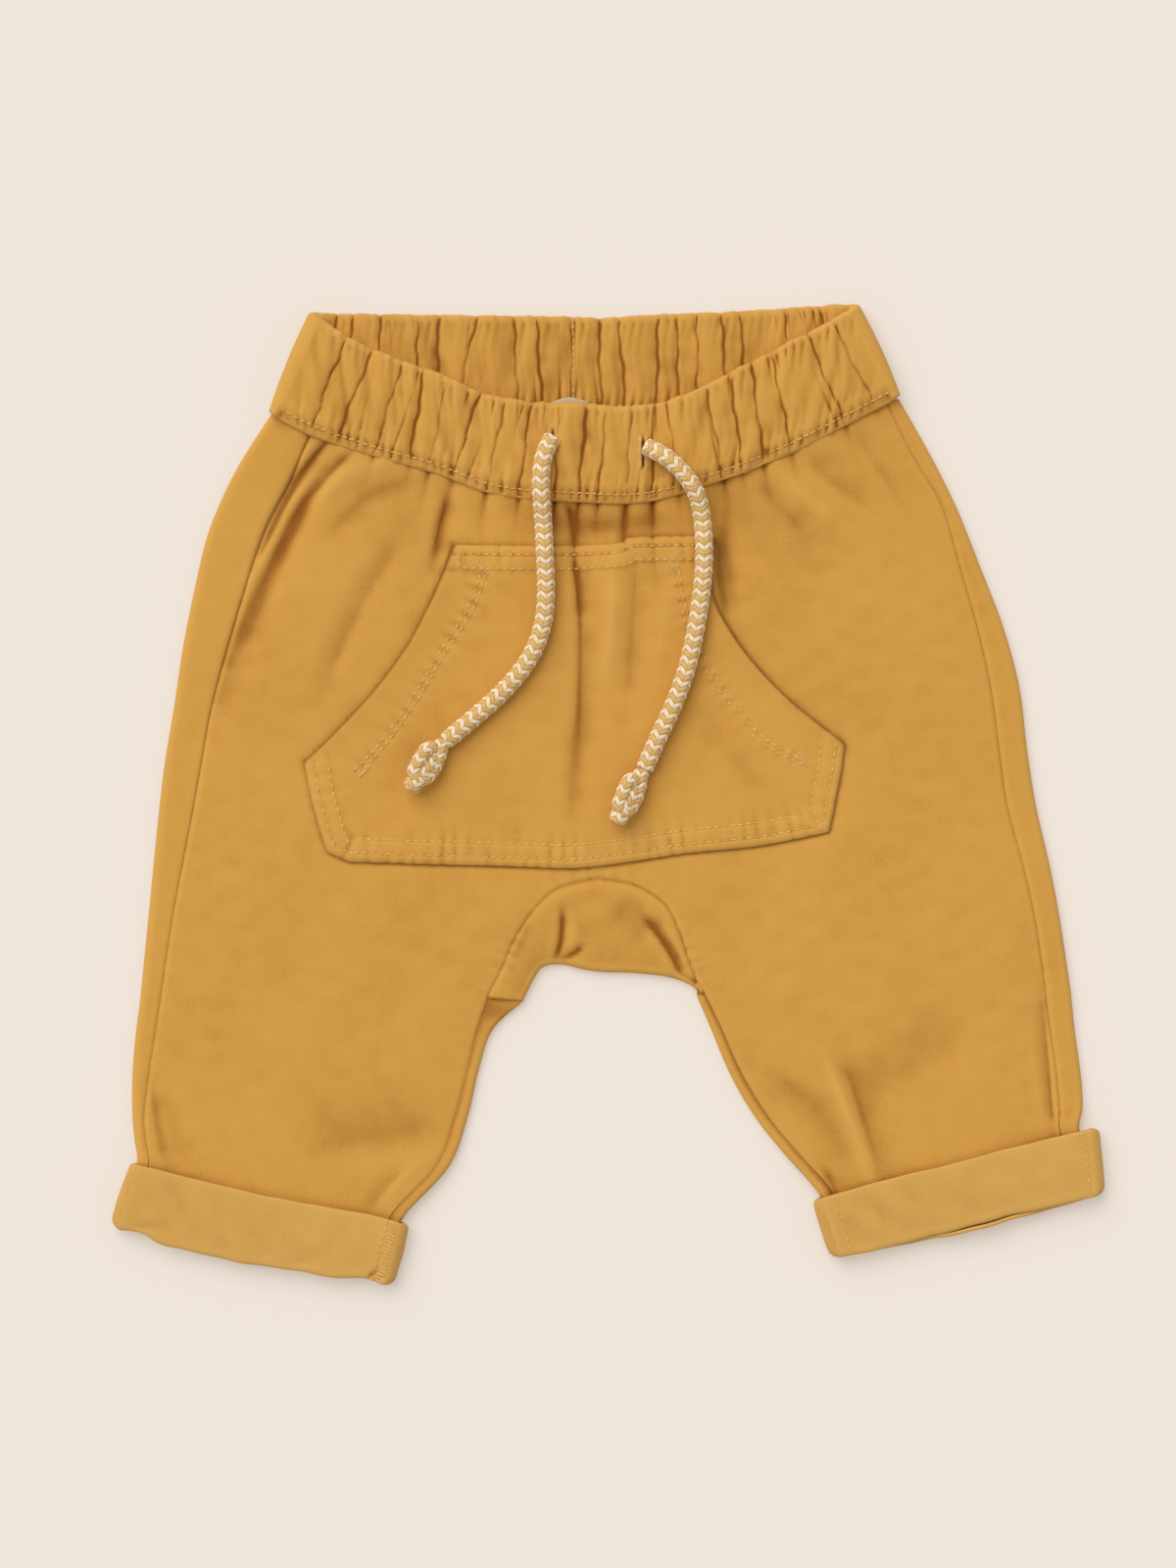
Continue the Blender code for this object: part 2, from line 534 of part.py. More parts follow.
def build_gusset(material):
    """The crotch piece: from its seam with the front, over the fold, and back along the surface."""
    arc_steps = ROW_STEPS[(ROW_STEPS >= APEX_ROW) & (ROW_STEPS <= CROTCH_ROW)]
    left = body_sections(LEFT_BODY, arc_steps)[::-1, 4:6]
    right = body_sections(RIGHT_BODY, arc_steps)[1:, 4:6]
    seam = np.concatenate([left, right])
    fold = curve_at(GUSSET_FOLD, np.linspace(0, 1, len(seam)))
    for edge in (seam, fold):
        for end, following in ((0, 1), (-1, -2)):
            along = edge[following] - edge[end]
            edge[end] = edge[end] + along * (GUSSET_END_GAP / np.linalg.norm(along))
    grid = []
    for seam_point, fold_point in zip(seam, fold):
        length = np.linalg.norm(seam_point - fold_point)
        across = (seam_point - fold_point) / length
        reach = min(GUSSET_ROLL, 0.3 * length)
        outer = fold_point + across * 0.5 * CLOTH
        shoulder = outer + across * reach
        end = seam_point - across * PANEL_GAP
        line = []
        for s in np.linspace(0, 1, 5, endpoint=False):
            plan = end + s * (shoulder - end)
            line.append((plan[0], plan[1], float(upper_z(plan[0], plan[1]))))
        top = float(upper_z(shoulder[0], shoulder[1]))
        line += roll(outer, across, top, BACK_Z, reach)
        for s in np.linspace(0, 1, 4)[1:]:
            plan = shoulder + s * (end - shoulder)
            line.append((plan[0], plan[1], BACK_Z))
        grid.append(line)
    return grid_object("gusset", np.array(grid)[::-1], material)


def gather_stations(gathers, low, top):
    """Where the band's sections meet its top and lower edges: at each trough, at its two shoulders and at the
    middle of the swell that follows. Sections that would crowd each other are left out."""
    wanted = []
    for i, (top_x, low_x, width, _, _) in enumerate(gathers):
        for offset in (-0.9 * width, 0.0, 0.9 * width):
            wanted.append((top_x + offset, low_x + offset))
        if i + 1 < len(gathers):
            following = gathers[i + 1]
            wanted.append((0.5 * (top_x + following[0]), 0.5 * (low_x + following[1])))
    wanted.sort()
    right = (top[-1][0], low[-1][0])
    stations = [(top[0][0], low[0][0])]
    for station in wanted:
        past_last = min(station[0] - stations[-1][0], station[1] - stations[-1][1])
        before_end = min(right[0] - station[0], right[1] - station[1])
        if min(past_last, before_end) > LEAST_STEP:
            stations.append(station)
    return stations + [right]


def gather_height(gathers, top_x, low_x, up):
    """Height of the band's cloth over its wall: a swell between the troughs, and a dip at each."""
    swell = 1.0
    x = low_x + up * (top_x - low_x)
    for g_top, g_low, width, top_depth, low_depth in gathers:
        line = g_low + up * (g_top - g_low)
        depth = low_depth + up * (top_depth - low_depth)
        swell = swell - depth * math.exp(-(((x - line) / width) ** 2))
    return max(swell, -0.5) * GATHER_SWELL


# The band's section: how far up each point is, and how full the wall is there.
BAND_ROWS = (0.0, 0.08, 0.5, 0.92, 1.0)
BAND_FULLNESS = (0.45, 1.0, 1.0, 1.0, 0.4)
BAND_EDGE_WALL = 0.45


def band_section(low, top, z, normal, swell_side, swell_at):
    """A closed section across the band. normal points from its inner face to its outer one. The face that
    shows from above swells between the gathers: the outer one at the front (1), the inner one at the back (-1),
    and neither at the turns (0)."""
    outer = []
    inner = []
    for up, fullness in zip(BAND_ROWS, BAND_FULLNESS):
        plan = low + up * (top - low)
        middle = np.array((plan[0], plan[1], z))
        swell = swell_at(up) * fullness
        half = 0.5 * BAND_WALL * (BAND_EDGE_WALL + (1 - BAND_EDGE_WALL) * fullness)
        outer_reach = half + swell if swell_side > 0 else half
        inner_reach = half + swell if swell_side < 0 else half
        if swell_side < 0:
            outer_reach = 0.5 * BAND_WALL
        outer.append(middle + normal * outer_reach)
        inner.append(middle - normal * inner_reach)
    return outer + inner[::-1]


def band_strip(gathers, low_curve, top_curve, z, normal, swell_side):
    """Sections along the band's front or back, left to right, one at each of its gathers' stations."""
    sections = []
    for top_x, low_x in gather_stations(gathers, low_curve, top_curve):
        low = np.array((low_x, float(y_on(low_curve, low_x))))
        top = np.array((top_x, float(y_on(top_curve, top_x))))

        def swell_at(up, top_x=top_x, low_x=low_x):
            return gather_height(gathers, top_x, low_x, up)

        sections.append(band_section(low, top, z, normal, swell_side, swell_at))
    return sections


def band_turn(side, lows, tops):
    """Sections round one side of the band: side 1 turns down at the right, side -1 turns up at the left."""
    radius = 0.5 * (BAND_FRONT_Z - BAND_BACK_Z)
    centre_z = 0.5 * (BAND_FRONT_Z + BAND_BACK_Z)
    sections = []
    for angle in (30, 60, 90, 120, 150):
        turn = math.radians(angle)
        share = angle / 180
        low = (1 - share) * np.array(lows[0]) + share * np.array(lows[1])
        top = (1 - share) * np.array(tops[0]) + share * np.array(tops[1])
        across = top - low
        outward = side * np.array((across[1], -across[0])) / np.linalg.norm(across)
        rise = side * math.cos(turn)
        normal = np.array((outward[0] * math.sin(turn), outward[1] * math.sin(turn), rise))
        shift = outward * radius * math.sin(turn)
        section = band_section(low + shift, top + shift, centre_z + radius * rise, normal, 0, lambda up: 0.0)
        sections.append(section)
    return sections


def build_waistband(material):
    """The gathered casing: its front over its back, and a turn at each side."""
    up = np.array((0.0, 0.0, 1.0))
    front = band_strip(FRONT_GATHERS, FRONT_SEAM, FRONT_TOP, BAND_FRONT_Z, up, 1)
    back = band_strip(BACK_GATHERS, BACK_SEAM, BACK_TOP, BAND_BACK_Z, -up, -1)
    right = band_turn(1, (FRONT_SEAM[-1], BACK_SEAM[-1]), (FRONT_TOP[-1], BACK_TOP[-1]))
    left = band_turn(-1, (BACK_SEAM[0], FRONT_SEAM[0]), (BACK_TOP[0], FRONT_TOP[0]))
    return ring_object("waistband", np.array(front + right + back[::-1] + left), material)


def build_pocket(material):
    """The patch pocket, made from the front's points and moved out by the walls and the seam's gap."""
    u = np.linspace(0, 1, POCKET_COLUMNS)
    v = np.linspace(0, 1, POCKET_ROWS)
    left = curve_at(POCKET_LEFT, v)
    right = curve_at(POCKET_RIGHT, v)
    top = even_curve(POCKET_TOP, POCKET_COLUMNS)
    bottom = even_curve(POCKET_BOTTOM, POCKET_COLUMNS)
    grid = np.zeros((POCKET_ROWS, POCKET_COLUMNS, 3))
    for i in range(POCKET_ROWS):
        straight = left[i] + u[:, None] * (right[i] - left[i])
        top_bulge = top - (left[0] + u[:, None] * (right[0] - left[0]))
        bottom_bulge = bottom - (left[-1] + u[:, None] * (right[-1] - left[-1]))
        plan = straight + (1 - v[i]) * top_bulge + v[i] * bottom_bulge
        grid[i, :, :2] = plan
        grid[i, :, 2] = upper_z(plan[:, 0], plan[:, 1]) + POCKET_LIFT
    return grid_object("pocket", grid, material)


def cuff_section(low, top, z, normal):
    """The turn-up's section: a wall, and the foot at the fold that reaches in under the leg's end. Each point
    is given by its depth from the outer face and its height up from the fold."""
    height = top - low
    length = np.linalg.norm(height)
    rise = height / length
    points = ((0.0, length), (0.0, 0.5 * length), (0.0, 0.9), (0.5, 0.15), (1.2, 0.0),
              (CUFF_FOOT - 0.5, 0.0), (CUFF_FOOT, 0.5), (CUFF_FOOT, CUFF_FOOT_RISE),
              (CUFF_WALL, CUFF_FOOT_RISE), (CUFF_WALL, 0.5 * length), (CUFF_WALL, length))
    section = []
    for depth, up in points:
        plan = low + rise * up
        section.append(np.array((plan[0], plan[1], z)) - normal * depth)
    return section


def build_cuff(name, low_curve, top_curve, material):
    """A turned-up leg end: a flat tube round the leg, with its outer face as its driving surface."""
    lows = even_curve(low_curve, CUFF_COLUMNS)
    tops = even_curve(top_curve, CUFF_COLUMNS)
    radius = 0.5 * CUFF_HEIGHT_Z
    up = np.array((0.0, 0.0, 1.0))
    sections = [cuff_section(low, top, CUFF_HEIGHT_Z, up) for low, top in zip(lows, tops)]
    turns = []
    for side, index in ((1, -1), (-1, 0)):
        across = tops[index] - lows[index]
        outward = side * np.array((across[1], -across[0])) / np.linalg.norm(across)
        steps = []
        for angle in (22.5, 45, 67.5, 90, 112.5, 135, 157.5):
            turn = math.radians(angle)
            height = math.cos(turn) * side
            normal = np.array((outward[0] * math.sin(turn), outward[1] * math.sin(turn), height))
            shift = outward * radius * math.sin(turn)
            low = lows[index] + shift
            top = tops[index] + shift
            steps.append(cuff_section(low, top, radius + radius * height, normal))
        turns.append(steps)
    backs = [cuff_section(low, top, 0.0, -up) for low, top in zip(lows[::-1], tops[::-1])]
    return ring_object(name, np.array(sections + turns[0] + backs + turns[1]), material)


def surface_top(x, y):
    """Height of what a cord lies on: the front, the pocket, or the band, smoothed at their steps."""
    front = float(upper_z(x, y)) + 0.5 * CLOTH
    band = BAND_FRONT_Z + 0.5 * BAND_WALL + GATHER_SWELL
    band_y = float(y_on(FRONT_SEAM, x)) - BAND_STEP_REACH
    over_band = 1 / (1 + math.exp((band_y - y) / BAND_STEP_WIDTH))
    over_pocket = 1 / (1 + math.exp((y - POCKET_STEP_Y) / POCKET_STEP_WIDTH))
    rest = front + over_pocket * POCKET_LIFT
    return rest + over_band * (band - rest)


def build_cord(name, route, material):
    """A tube over the front, from just above the buttonhole to the knot."""
    points = even_curve(route, CORD_POINTS)
    curve = bpy.data.curves.new(name, "CURVE")
    curve.dimensions = "3D"
    curve.bevel_depth = 0.5 * CORD_DIAMETER * MM
    curve.bevel_resolution = 2
    curve.use_fill_caps = True
    spline = curve.splines.new("POLY")
    spline.points.add(len(points) - 1)
    for point, (x, y) in zip(spline.points, points):
        z = surface_top(x, y) + CORD_CLEARANCE + 0.5 * CORD_DIAMETER
        point.co = (x * MM, y * MM, z * MM, 1.0)
    curve.materials.append(material)
    obj = bpy.data.objects.new(name, curve)
    TROUSERS.objects.link(obj)
    return obj


def build_knot(name, ends, material):
    """An overhand knot, drawn tight: a blunt body with two shallow waists where the cord crosses itself."""
    start, end = np.array(ends[0]), np.array(ends[1])
    along = end - start
    half_length = 0.5 * np.linalg.norm(along)
    heading = along / np.linalg.norm(along)
    sideways = np.array((-heading[1], heading[0]))
    centre = 0.5 * (start + end)
    base = surface_top(centre[0], centre[1]) + CORD_CLEARANCE + 0.5 * KNOT_HEIGHT
    shape = bmesh.new()
    bmesh.ops.create_uvsphere(shape, u_segments=14, v_segments=11, radius=1.0)
    for vert in shape.verts:
        run, side, rise = vert.co.z, vert.co.x, vert.co.y
        girth = math.hypot(side, rise)
        if girth > 0.01:
            blunt = girth ** (KNOT_BLUNTNESS - 1)
            waist = 1 - KNOT_WAIST * math.cos(KNOT_TURNS * run) ** 2
            side *= blunt * waist
            rise *= blunt * waist
        plan = centre + heading * run * half_length + sideways * side * 0.5 * KNOT_WIDTH
        vert.co = (plan[0] * MM, plan[1] * MM, (base + rise * 0.5 * KNOT_HEIGHT) * MM)
    mesh = bpy.data.meshes.new(name)
    shape.to_mesh(mesh)
    shape.free()
    return add_object(name, mesh, material)


def build_label(material):
    """A small blank tab that lies on the inner face of the band's back, at the centre-back seam."""
    base = BAND_BACK_Z + 0.5 * BAND_WALL + GATHER_SWELL + SEAM_GAP
    bpy.ops.mesh.primitive_cube_add(size=1.0)
    label = bpy.context.active_object
    label.name = "label"
    label.data.name = "label"
    for vert in label.data.vertices:
        x, y, z = vert.co
        vert.co = (x * LABEL_SIZE[0] * MM, y * LABEL_SIZE[1] * MM, (z + 0.5) * LABEL_THICK * MM)
    label.location = (LABEL_CENTRE[0] * MM, LABEL_CENTRE[1] * MM, base * MM)
    label.data.materials.append(material)
    for collection in list(label.users_collection):
        collection.objects.unlink(label)
    TROUSERS.objects.link(label)
    return label


def main():
    cloth = finish("mustard_cloth", MUSTARD, 0.85)
    reverse = finish("mustard_cloth_reverse", MUSTARD_REVERSE, 0.9)
    cord = finish("braided_cord", CORD_CREAM, 0.8)
    tab = finish("label_tape", LABEL_GREY, 0.8)
    build_front(cloth)
    build_back("back_left", LEFT_BODY, -1, cloth)
    build_back("back_right", RIGHT_BODY, 1, cloth)
    build_gusset(cloth)
    build_waistband(cloth)
    build_pocket(cloth)
    build_cuff("cuff_left", CUFF_LEFT_LOW, CUFF_LEFT_TOP, reverse)
    build_cuff("cuff_right", CUFF_RIGHT_LOW, CUFF_RIGHT_TOP, reverse)
    build_label(tab)
    build_cord("drawcord_left", LEFT_CORD, cord)
    build_cord("drawcord_right", RIGHT_CORD, cord)
    build_knot("knot_left", LEFT_KNOT, cord)
    build_knot("knot_right", RIGHT_KNOT, cord)


clear_scene()
TROUSERS = bpy.data.collections.new("baby_trousers")
bpy.context.scene.collection.children.link(TROUSERS)
main()
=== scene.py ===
"""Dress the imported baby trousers: creased cloth panels, gathers, stitching, braided cords and a studio.

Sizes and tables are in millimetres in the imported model's frame: +X to the right, +Y towards the waist and
z = 0 on the surface that the garment lies on. Meshes are made in metres.
"""

from __future__ import annotations

import logging
import math
from dataclasses import dataclass, field
from enum import Enum
from typing import ClassVar

import bpy
import numpy as np
from bpy.types import Material, Mesh, Node, NodeSocket, NodeTree, Object
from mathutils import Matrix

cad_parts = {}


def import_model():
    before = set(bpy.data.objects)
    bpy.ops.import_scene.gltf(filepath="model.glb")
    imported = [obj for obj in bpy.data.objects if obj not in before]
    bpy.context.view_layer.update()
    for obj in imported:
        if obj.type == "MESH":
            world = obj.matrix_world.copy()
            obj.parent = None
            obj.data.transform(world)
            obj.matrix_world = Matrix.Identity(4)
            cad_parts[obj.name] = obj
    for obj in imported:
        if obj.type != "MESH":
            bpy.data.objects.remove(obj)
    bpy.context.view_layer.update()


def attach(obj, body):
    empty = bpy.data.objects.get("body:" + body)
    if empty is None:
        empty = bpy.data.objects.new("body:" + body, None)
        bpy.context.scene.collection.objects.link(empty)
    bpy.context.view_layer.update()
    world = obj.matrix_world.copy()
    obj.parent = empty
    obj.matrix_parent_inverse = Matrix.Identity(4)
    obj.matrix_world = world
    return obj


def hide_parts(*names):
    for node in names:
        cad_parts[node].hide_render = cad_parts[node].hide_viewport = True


LOG = logging.getLogger("baby_trousers")
Array = np.ndarray
Rows = tuple[tuple[float, ...], ...]

MM = 0.001
ROOT = "root"

# Cloth, seams and heights of the middle of a wall, as in the part's solids.
CLOTH = 1.2
SEAM_GAP = 0.3
PANEL_GAP = SEAM_GAP + 0.1
POCKET_LIFT = CLOTH + SEAM_GAP + 0.15
BAND_WALL = 3.0
BAND_BACK_Z = 0.5 * BAND_WALL
BAND_FRONT_Z = 6.5
BAND_HEIGHT = 34.0
BAND_SWELL = 0.85
BACK_Z = 0.5 * CLOTH
CUFF_WALL = 1.4
LEG_END_BACK_Z = CUFF_WALL + SEAM_GAP + 0.5 * CLOTH
LEG_END_FRONT_Z = LEG_END_BACK_Z + CLOTH + 1.0
CUFF_HEIGHT_Z = LEG_END_FRONT_Z + LEG_END_BACK_Z
CUFF_FOOT = CUFF_WALL + SEAM_GAP + CLOTH
CUFF_FOOT_RISE = 1.4
EDGE_ROLL = 2.4
SEAM_LAP = 0.05
CORD_DIAMETER = 6.2
CORD_CLEARANCE = 0.35
CENTRE_BACK_X = -12.3

# How much painted shade a surface's bend puts in its creases, and how much painted highlight a ridge may get.
BEND_SHADE = 7.0
RIDGE_HIGHLIGHT_LIMIT = -0.25

# Sections down each half of the body, from the waist seam to the leg's end, in plan. Rows 0 to 6 run to the
# centre, rows 6 to 11 to the gusset's seam, and the leg starts at row 12.
BODY_COLUMNS = ("edge_x", "edge_y", "seam_x", "seam_y", "front_x", "front_y", "back_x", "back_y", "raise")
APEX_ROW = 6
CROTCH_ROW = 11
LEFT_BODY: Rows = (
    (-114.6, 129.2, -100.6, 123.4, -3.3, 98.0, -12.3, 128.0, 0.0),
    (-126.7, 110.2, -108.3, 106.2, -3.3, 78.5, -11.7, 103.5, 0.0),
    (-135.7, 90.2, -116.7, 89.8, -3.3, 56.8, -10.7, 76.8, 0.0),
    (-140.7, 70.2, -123.7, 68.5, -3.3, 35.2, -9.3, 50.2, 0.0),
    (-144.7, 50.2, -129.3, 50.2, -3.3, 15.2, -8.0, 23.5, 0.0),
    (-147.7, 30.2, -134.7, 30.2, -3.3, -6.5, -6.7, -3.2, 0.0),
    (-151.0, 10.2, -138.3, 10.2, -3.3, -28.5, -3.3, -28.5, 0.0),
    (-153.0, -6.5, -141.3, -6.5, -17.3, -32.2, -17.3, -32.2, 0.0),
    (-154.7, -23.2, -144.7, -23.8, -26.3, -40.8, -26.3, -40.8, 0.0),
    (-156.3, -39.8, -147.7, -39.8, -32.0, -49.8, -32.0, -49.8, 0.0),
    (-158.0, -56.5, -150.3, -56.5, -36.0, -59.2, -36.0, -59.2, 0.0),
    (-159.2, -68.8, -152.2, -69.4, -40.4, -67.9, -40.4, -67.9, 0.0),
    (-159.4, -70.9, -152.4, -71.5, -40.9, -69.3, -28.7, -70.3, 0.0),
    (-161.0, -83.2, -154.3, -83.8, -44.3, -79.2, -39.0, -79.8, 0.0),
    (-162.0, -96.5, -156.3, -96.5, -47.7, -93.2, -43.8, -93.5, 0.0),
    (-162.0, -108.8, -157.8, -109.5, -52.0, -109.4, -47.6, -109.8, 0.1),
    (-161.2, -117.5, -157.2, -118.0, -58.3, -126.0, -53.9, -126.7, 0.45),
    (-160.2, -124.4, -156.2, -125.4, -72.9, -142.0, -68.9, -143.2, 1.0),
    (-161.9, -134.4, -157.9, -135.4, -76.6, -152.3, -72.6, -153.0, 1.0),
    (-163.4, -142.8, -159.4, -143.8, -79.4, -159.4, -75.4, -160.1, 1.0),
)
RIGHT_BODY: Rows = (
    (99.3, 134.4, 94.5, 134.0, -3.3, 98.0, -12.3, 128.0, 0.0),
    (110.7, 114.2, 104.0, 115.2, -3.3, 78.5, -11.7, 103.5, 0.0),
    (119.3, 96.8, 113.7, 98.5, -3.3, 56.8, -10.7, 76.8, 0.0),
    (127.0, 77.5, 120.0, 77.5, -3.3, 35.2, -9.3, 50.2, 0.0),
    (134.7, 57.5, 125.7, 57.5, -3.3, 15.2, -8.0, 23.5, 0.0),
    (140.3, 36.8, 130.3, 36.8, -3.3, -6.5, -6.7, -3.2, 0.0),
    (143.0, 15.2, 133.3, 15.2, -3.3, -28.5, -3.3, -28.5, 0.0),
    (146.0, -3.8, 136.0, -3.8, 9.3, -30.8, 9.3, -30.8, 0.0),
    (150.3, -22.5, 141.0, -22.5, 19.3, -37.2, 19.3, -37.2, 0.0),
    (153.7, -39.8, 145.0, -39.8, 24.3, -46.5, 24.3, -46.5, 0.0),
    (156.3, -56.5, 147.7, -56.5, 27.3, -55.8, 27.3, -55.8, 0.0),
    (157.9, -67.4, 149.2, -67.6, 30.2, -63.8, 30.2, -63.8, 0.0),
    (158.1, -69.6, 149.4, -69.8, 32.8, -67.4, 30.3, -68.4, 0.0),
    (159.2, -80.0, 150.7, -80.0, 38.2, -78.2, 34.7, -78.5, 0.0),
    (160.7, -91.0, 152.3, -91.0, 45.7, -94.8, 41.7, -95.2, 0.0),
    (161.7, -100.0, 153.3, -100.2, 54.4, -109.2, 50.2, -109.8, 0.1),
    (161.8, -107.0, 153.8, -107.4, 64.4, -121.4, 60.2, -122.4, 0.45),
    (160.6, -112.8, 153.6, -113.2, 75.4, -133.9, 71.4, -135.2, 1.0),
    (161.6, -121.5, 155.6, -122.2, 80.6, -144.2, 76.6, -145.2, 1.0),
    (162.6, -129.0, 156.6, -129.8, 82.6, -150.0, 78.6, -150.8, 1.0),
)
FRONT_SEAM: Rows = (
    (-111.8, 127.4), (-100.0, 121.5), (-78.7, 114.5), (-58.7, 109.0), (-41.7, 102.6), (-27.7, 100.2),
    (-6.7, 99.0), (6.0, 98.6), (18.7, 100.2), (35.7, 105.5), (50.7, 110.8), (67.7, 118.2), (81.7, 125.6),
    (96.2, 133.2),
)
FRONT_TOP: Rows = (
    (-97.6, 162.0), (-91.7, 157.5), (-84.0, 153.2), (-68.0, 146.8), (-58.7, 143.6), (-42.7, 136.6),
    (-26.7, 133.6), (-6.7, 132.8), (4.0, 131.6), (15.7, 133.0), (28.3, 136.6), (41.0, 143.2),
    (50.7, 148.2), (59.3, 152.8), (72.0, 158.9), (81.6, 164.4),
)
BACK_SEAM: Rows = ((-111.4, 129.2), (-68.0, 128.6), (-12.3, 128.4), (50.0, 131.0), (95.8, 134.4))
BACK_TOP: Rows = (
    (-97.3, 164.0), (-68.7, 163.5), (-42.0, 163.2), (-15.3, 162.8), (0.7, 162.5), (22.0, 163.8),
    (48.7, 164.8), (70.0, 166.4), (81.3, 166.8),
)

# Gathers of the band, left to right: top_x and low_x, width, top_depth and low_depth.
FRONT_GATHERS: Rows = (
    (-88.6, -101.5, 2.2, 0.9, 1.1),
    (-79.6, -92.6, 2.0, 1.0, 1.0),
    (-69.5, -79.6, 2.6, 0.8, 0.9),
    (-62.2, -67.4, 2.2, 1.2, 1.2),
    (-54.2, -61.0, 2.0, 0.2, 0.8),
    (-43.2, -53.0, 2.4, 1.1, 1.2),
    (-34.6, -41.4, 2.0, 0.3, 0.8),
    (-25.8, -30.4, 2.4, 1.1, 1.1),
    (-16.6, -18.2, 2.0, 0.5, 1.0),
    (-7.0, -10.0, 2.4, 1.2, 1.2),
    (-0.4, -3.4, 1.8, 0.3, 0.7),
    (8.0, 6.2, 1.8, 0.3, 0.8),
    (15.6, 15.2, 2.4, 1.3, 1.3),
    (20.0, 24.2, 1.8, 1.0, 0.5),
    (33.0, 39.5, 5.0, 0.5, 1.1),
    (41.6, 45.8, 2.2, 0.8, 0.8),
    (48.6, 53.2, 2.2, 1.1, 1.0),
    (55.4, 62.4, 2.2, 1.2, 1.1),
    (67.4, 80.8, 2.4, 1.2, 0.9),
    (75.6, 91.4, 2.4, 0.6, 0.5),
)
BACK_GATHERS: Rows = (
    (-92.0, -100.0, 2.2, 1.0, 0.8),
    (-86.0, -92.0, 2.0, 0.9, 0.6),
    (-77.6, -77.8, 2.2, 1.0, 1.0),
    (-64.7, -64.7, 2.2, 0.9, 0.9),
    (-57.4, -58.4, 2.4, 1.1, 1.0),
    (-44.3, -52.6, 2.4, 1.0, 0.9),
    (-32.0, -30.4, 2.2, 0.7, 0.8),
    (-24.3, -21.9, 2.2, 1.1, 1.1),
    (-12.3, -12.3, 1.6, 0.6, 0.6),
    (-3.2, -2.0, 2.2, 1.0, 1.0),
    (3.6, 6.4, 2.2, 0.9, 0.9),
    (17.2, 16.6, 2.2, 1.0, 1.0),
    (23.3, 24.4, 2.0, 0.9, 0.9),
    (30.4, 30.6, 2.2, 1.1, 1.1),
    (38.7, 41.0, 2.2, 0.9, 0.9),
    (45.0, 47.4, 2.2, 0.8, 0.8),
    (60.0, 64.0, 2.2, 0.8, 0.6),
    (72.0, 80.0, 2.2, 0.9, 0.6),
)

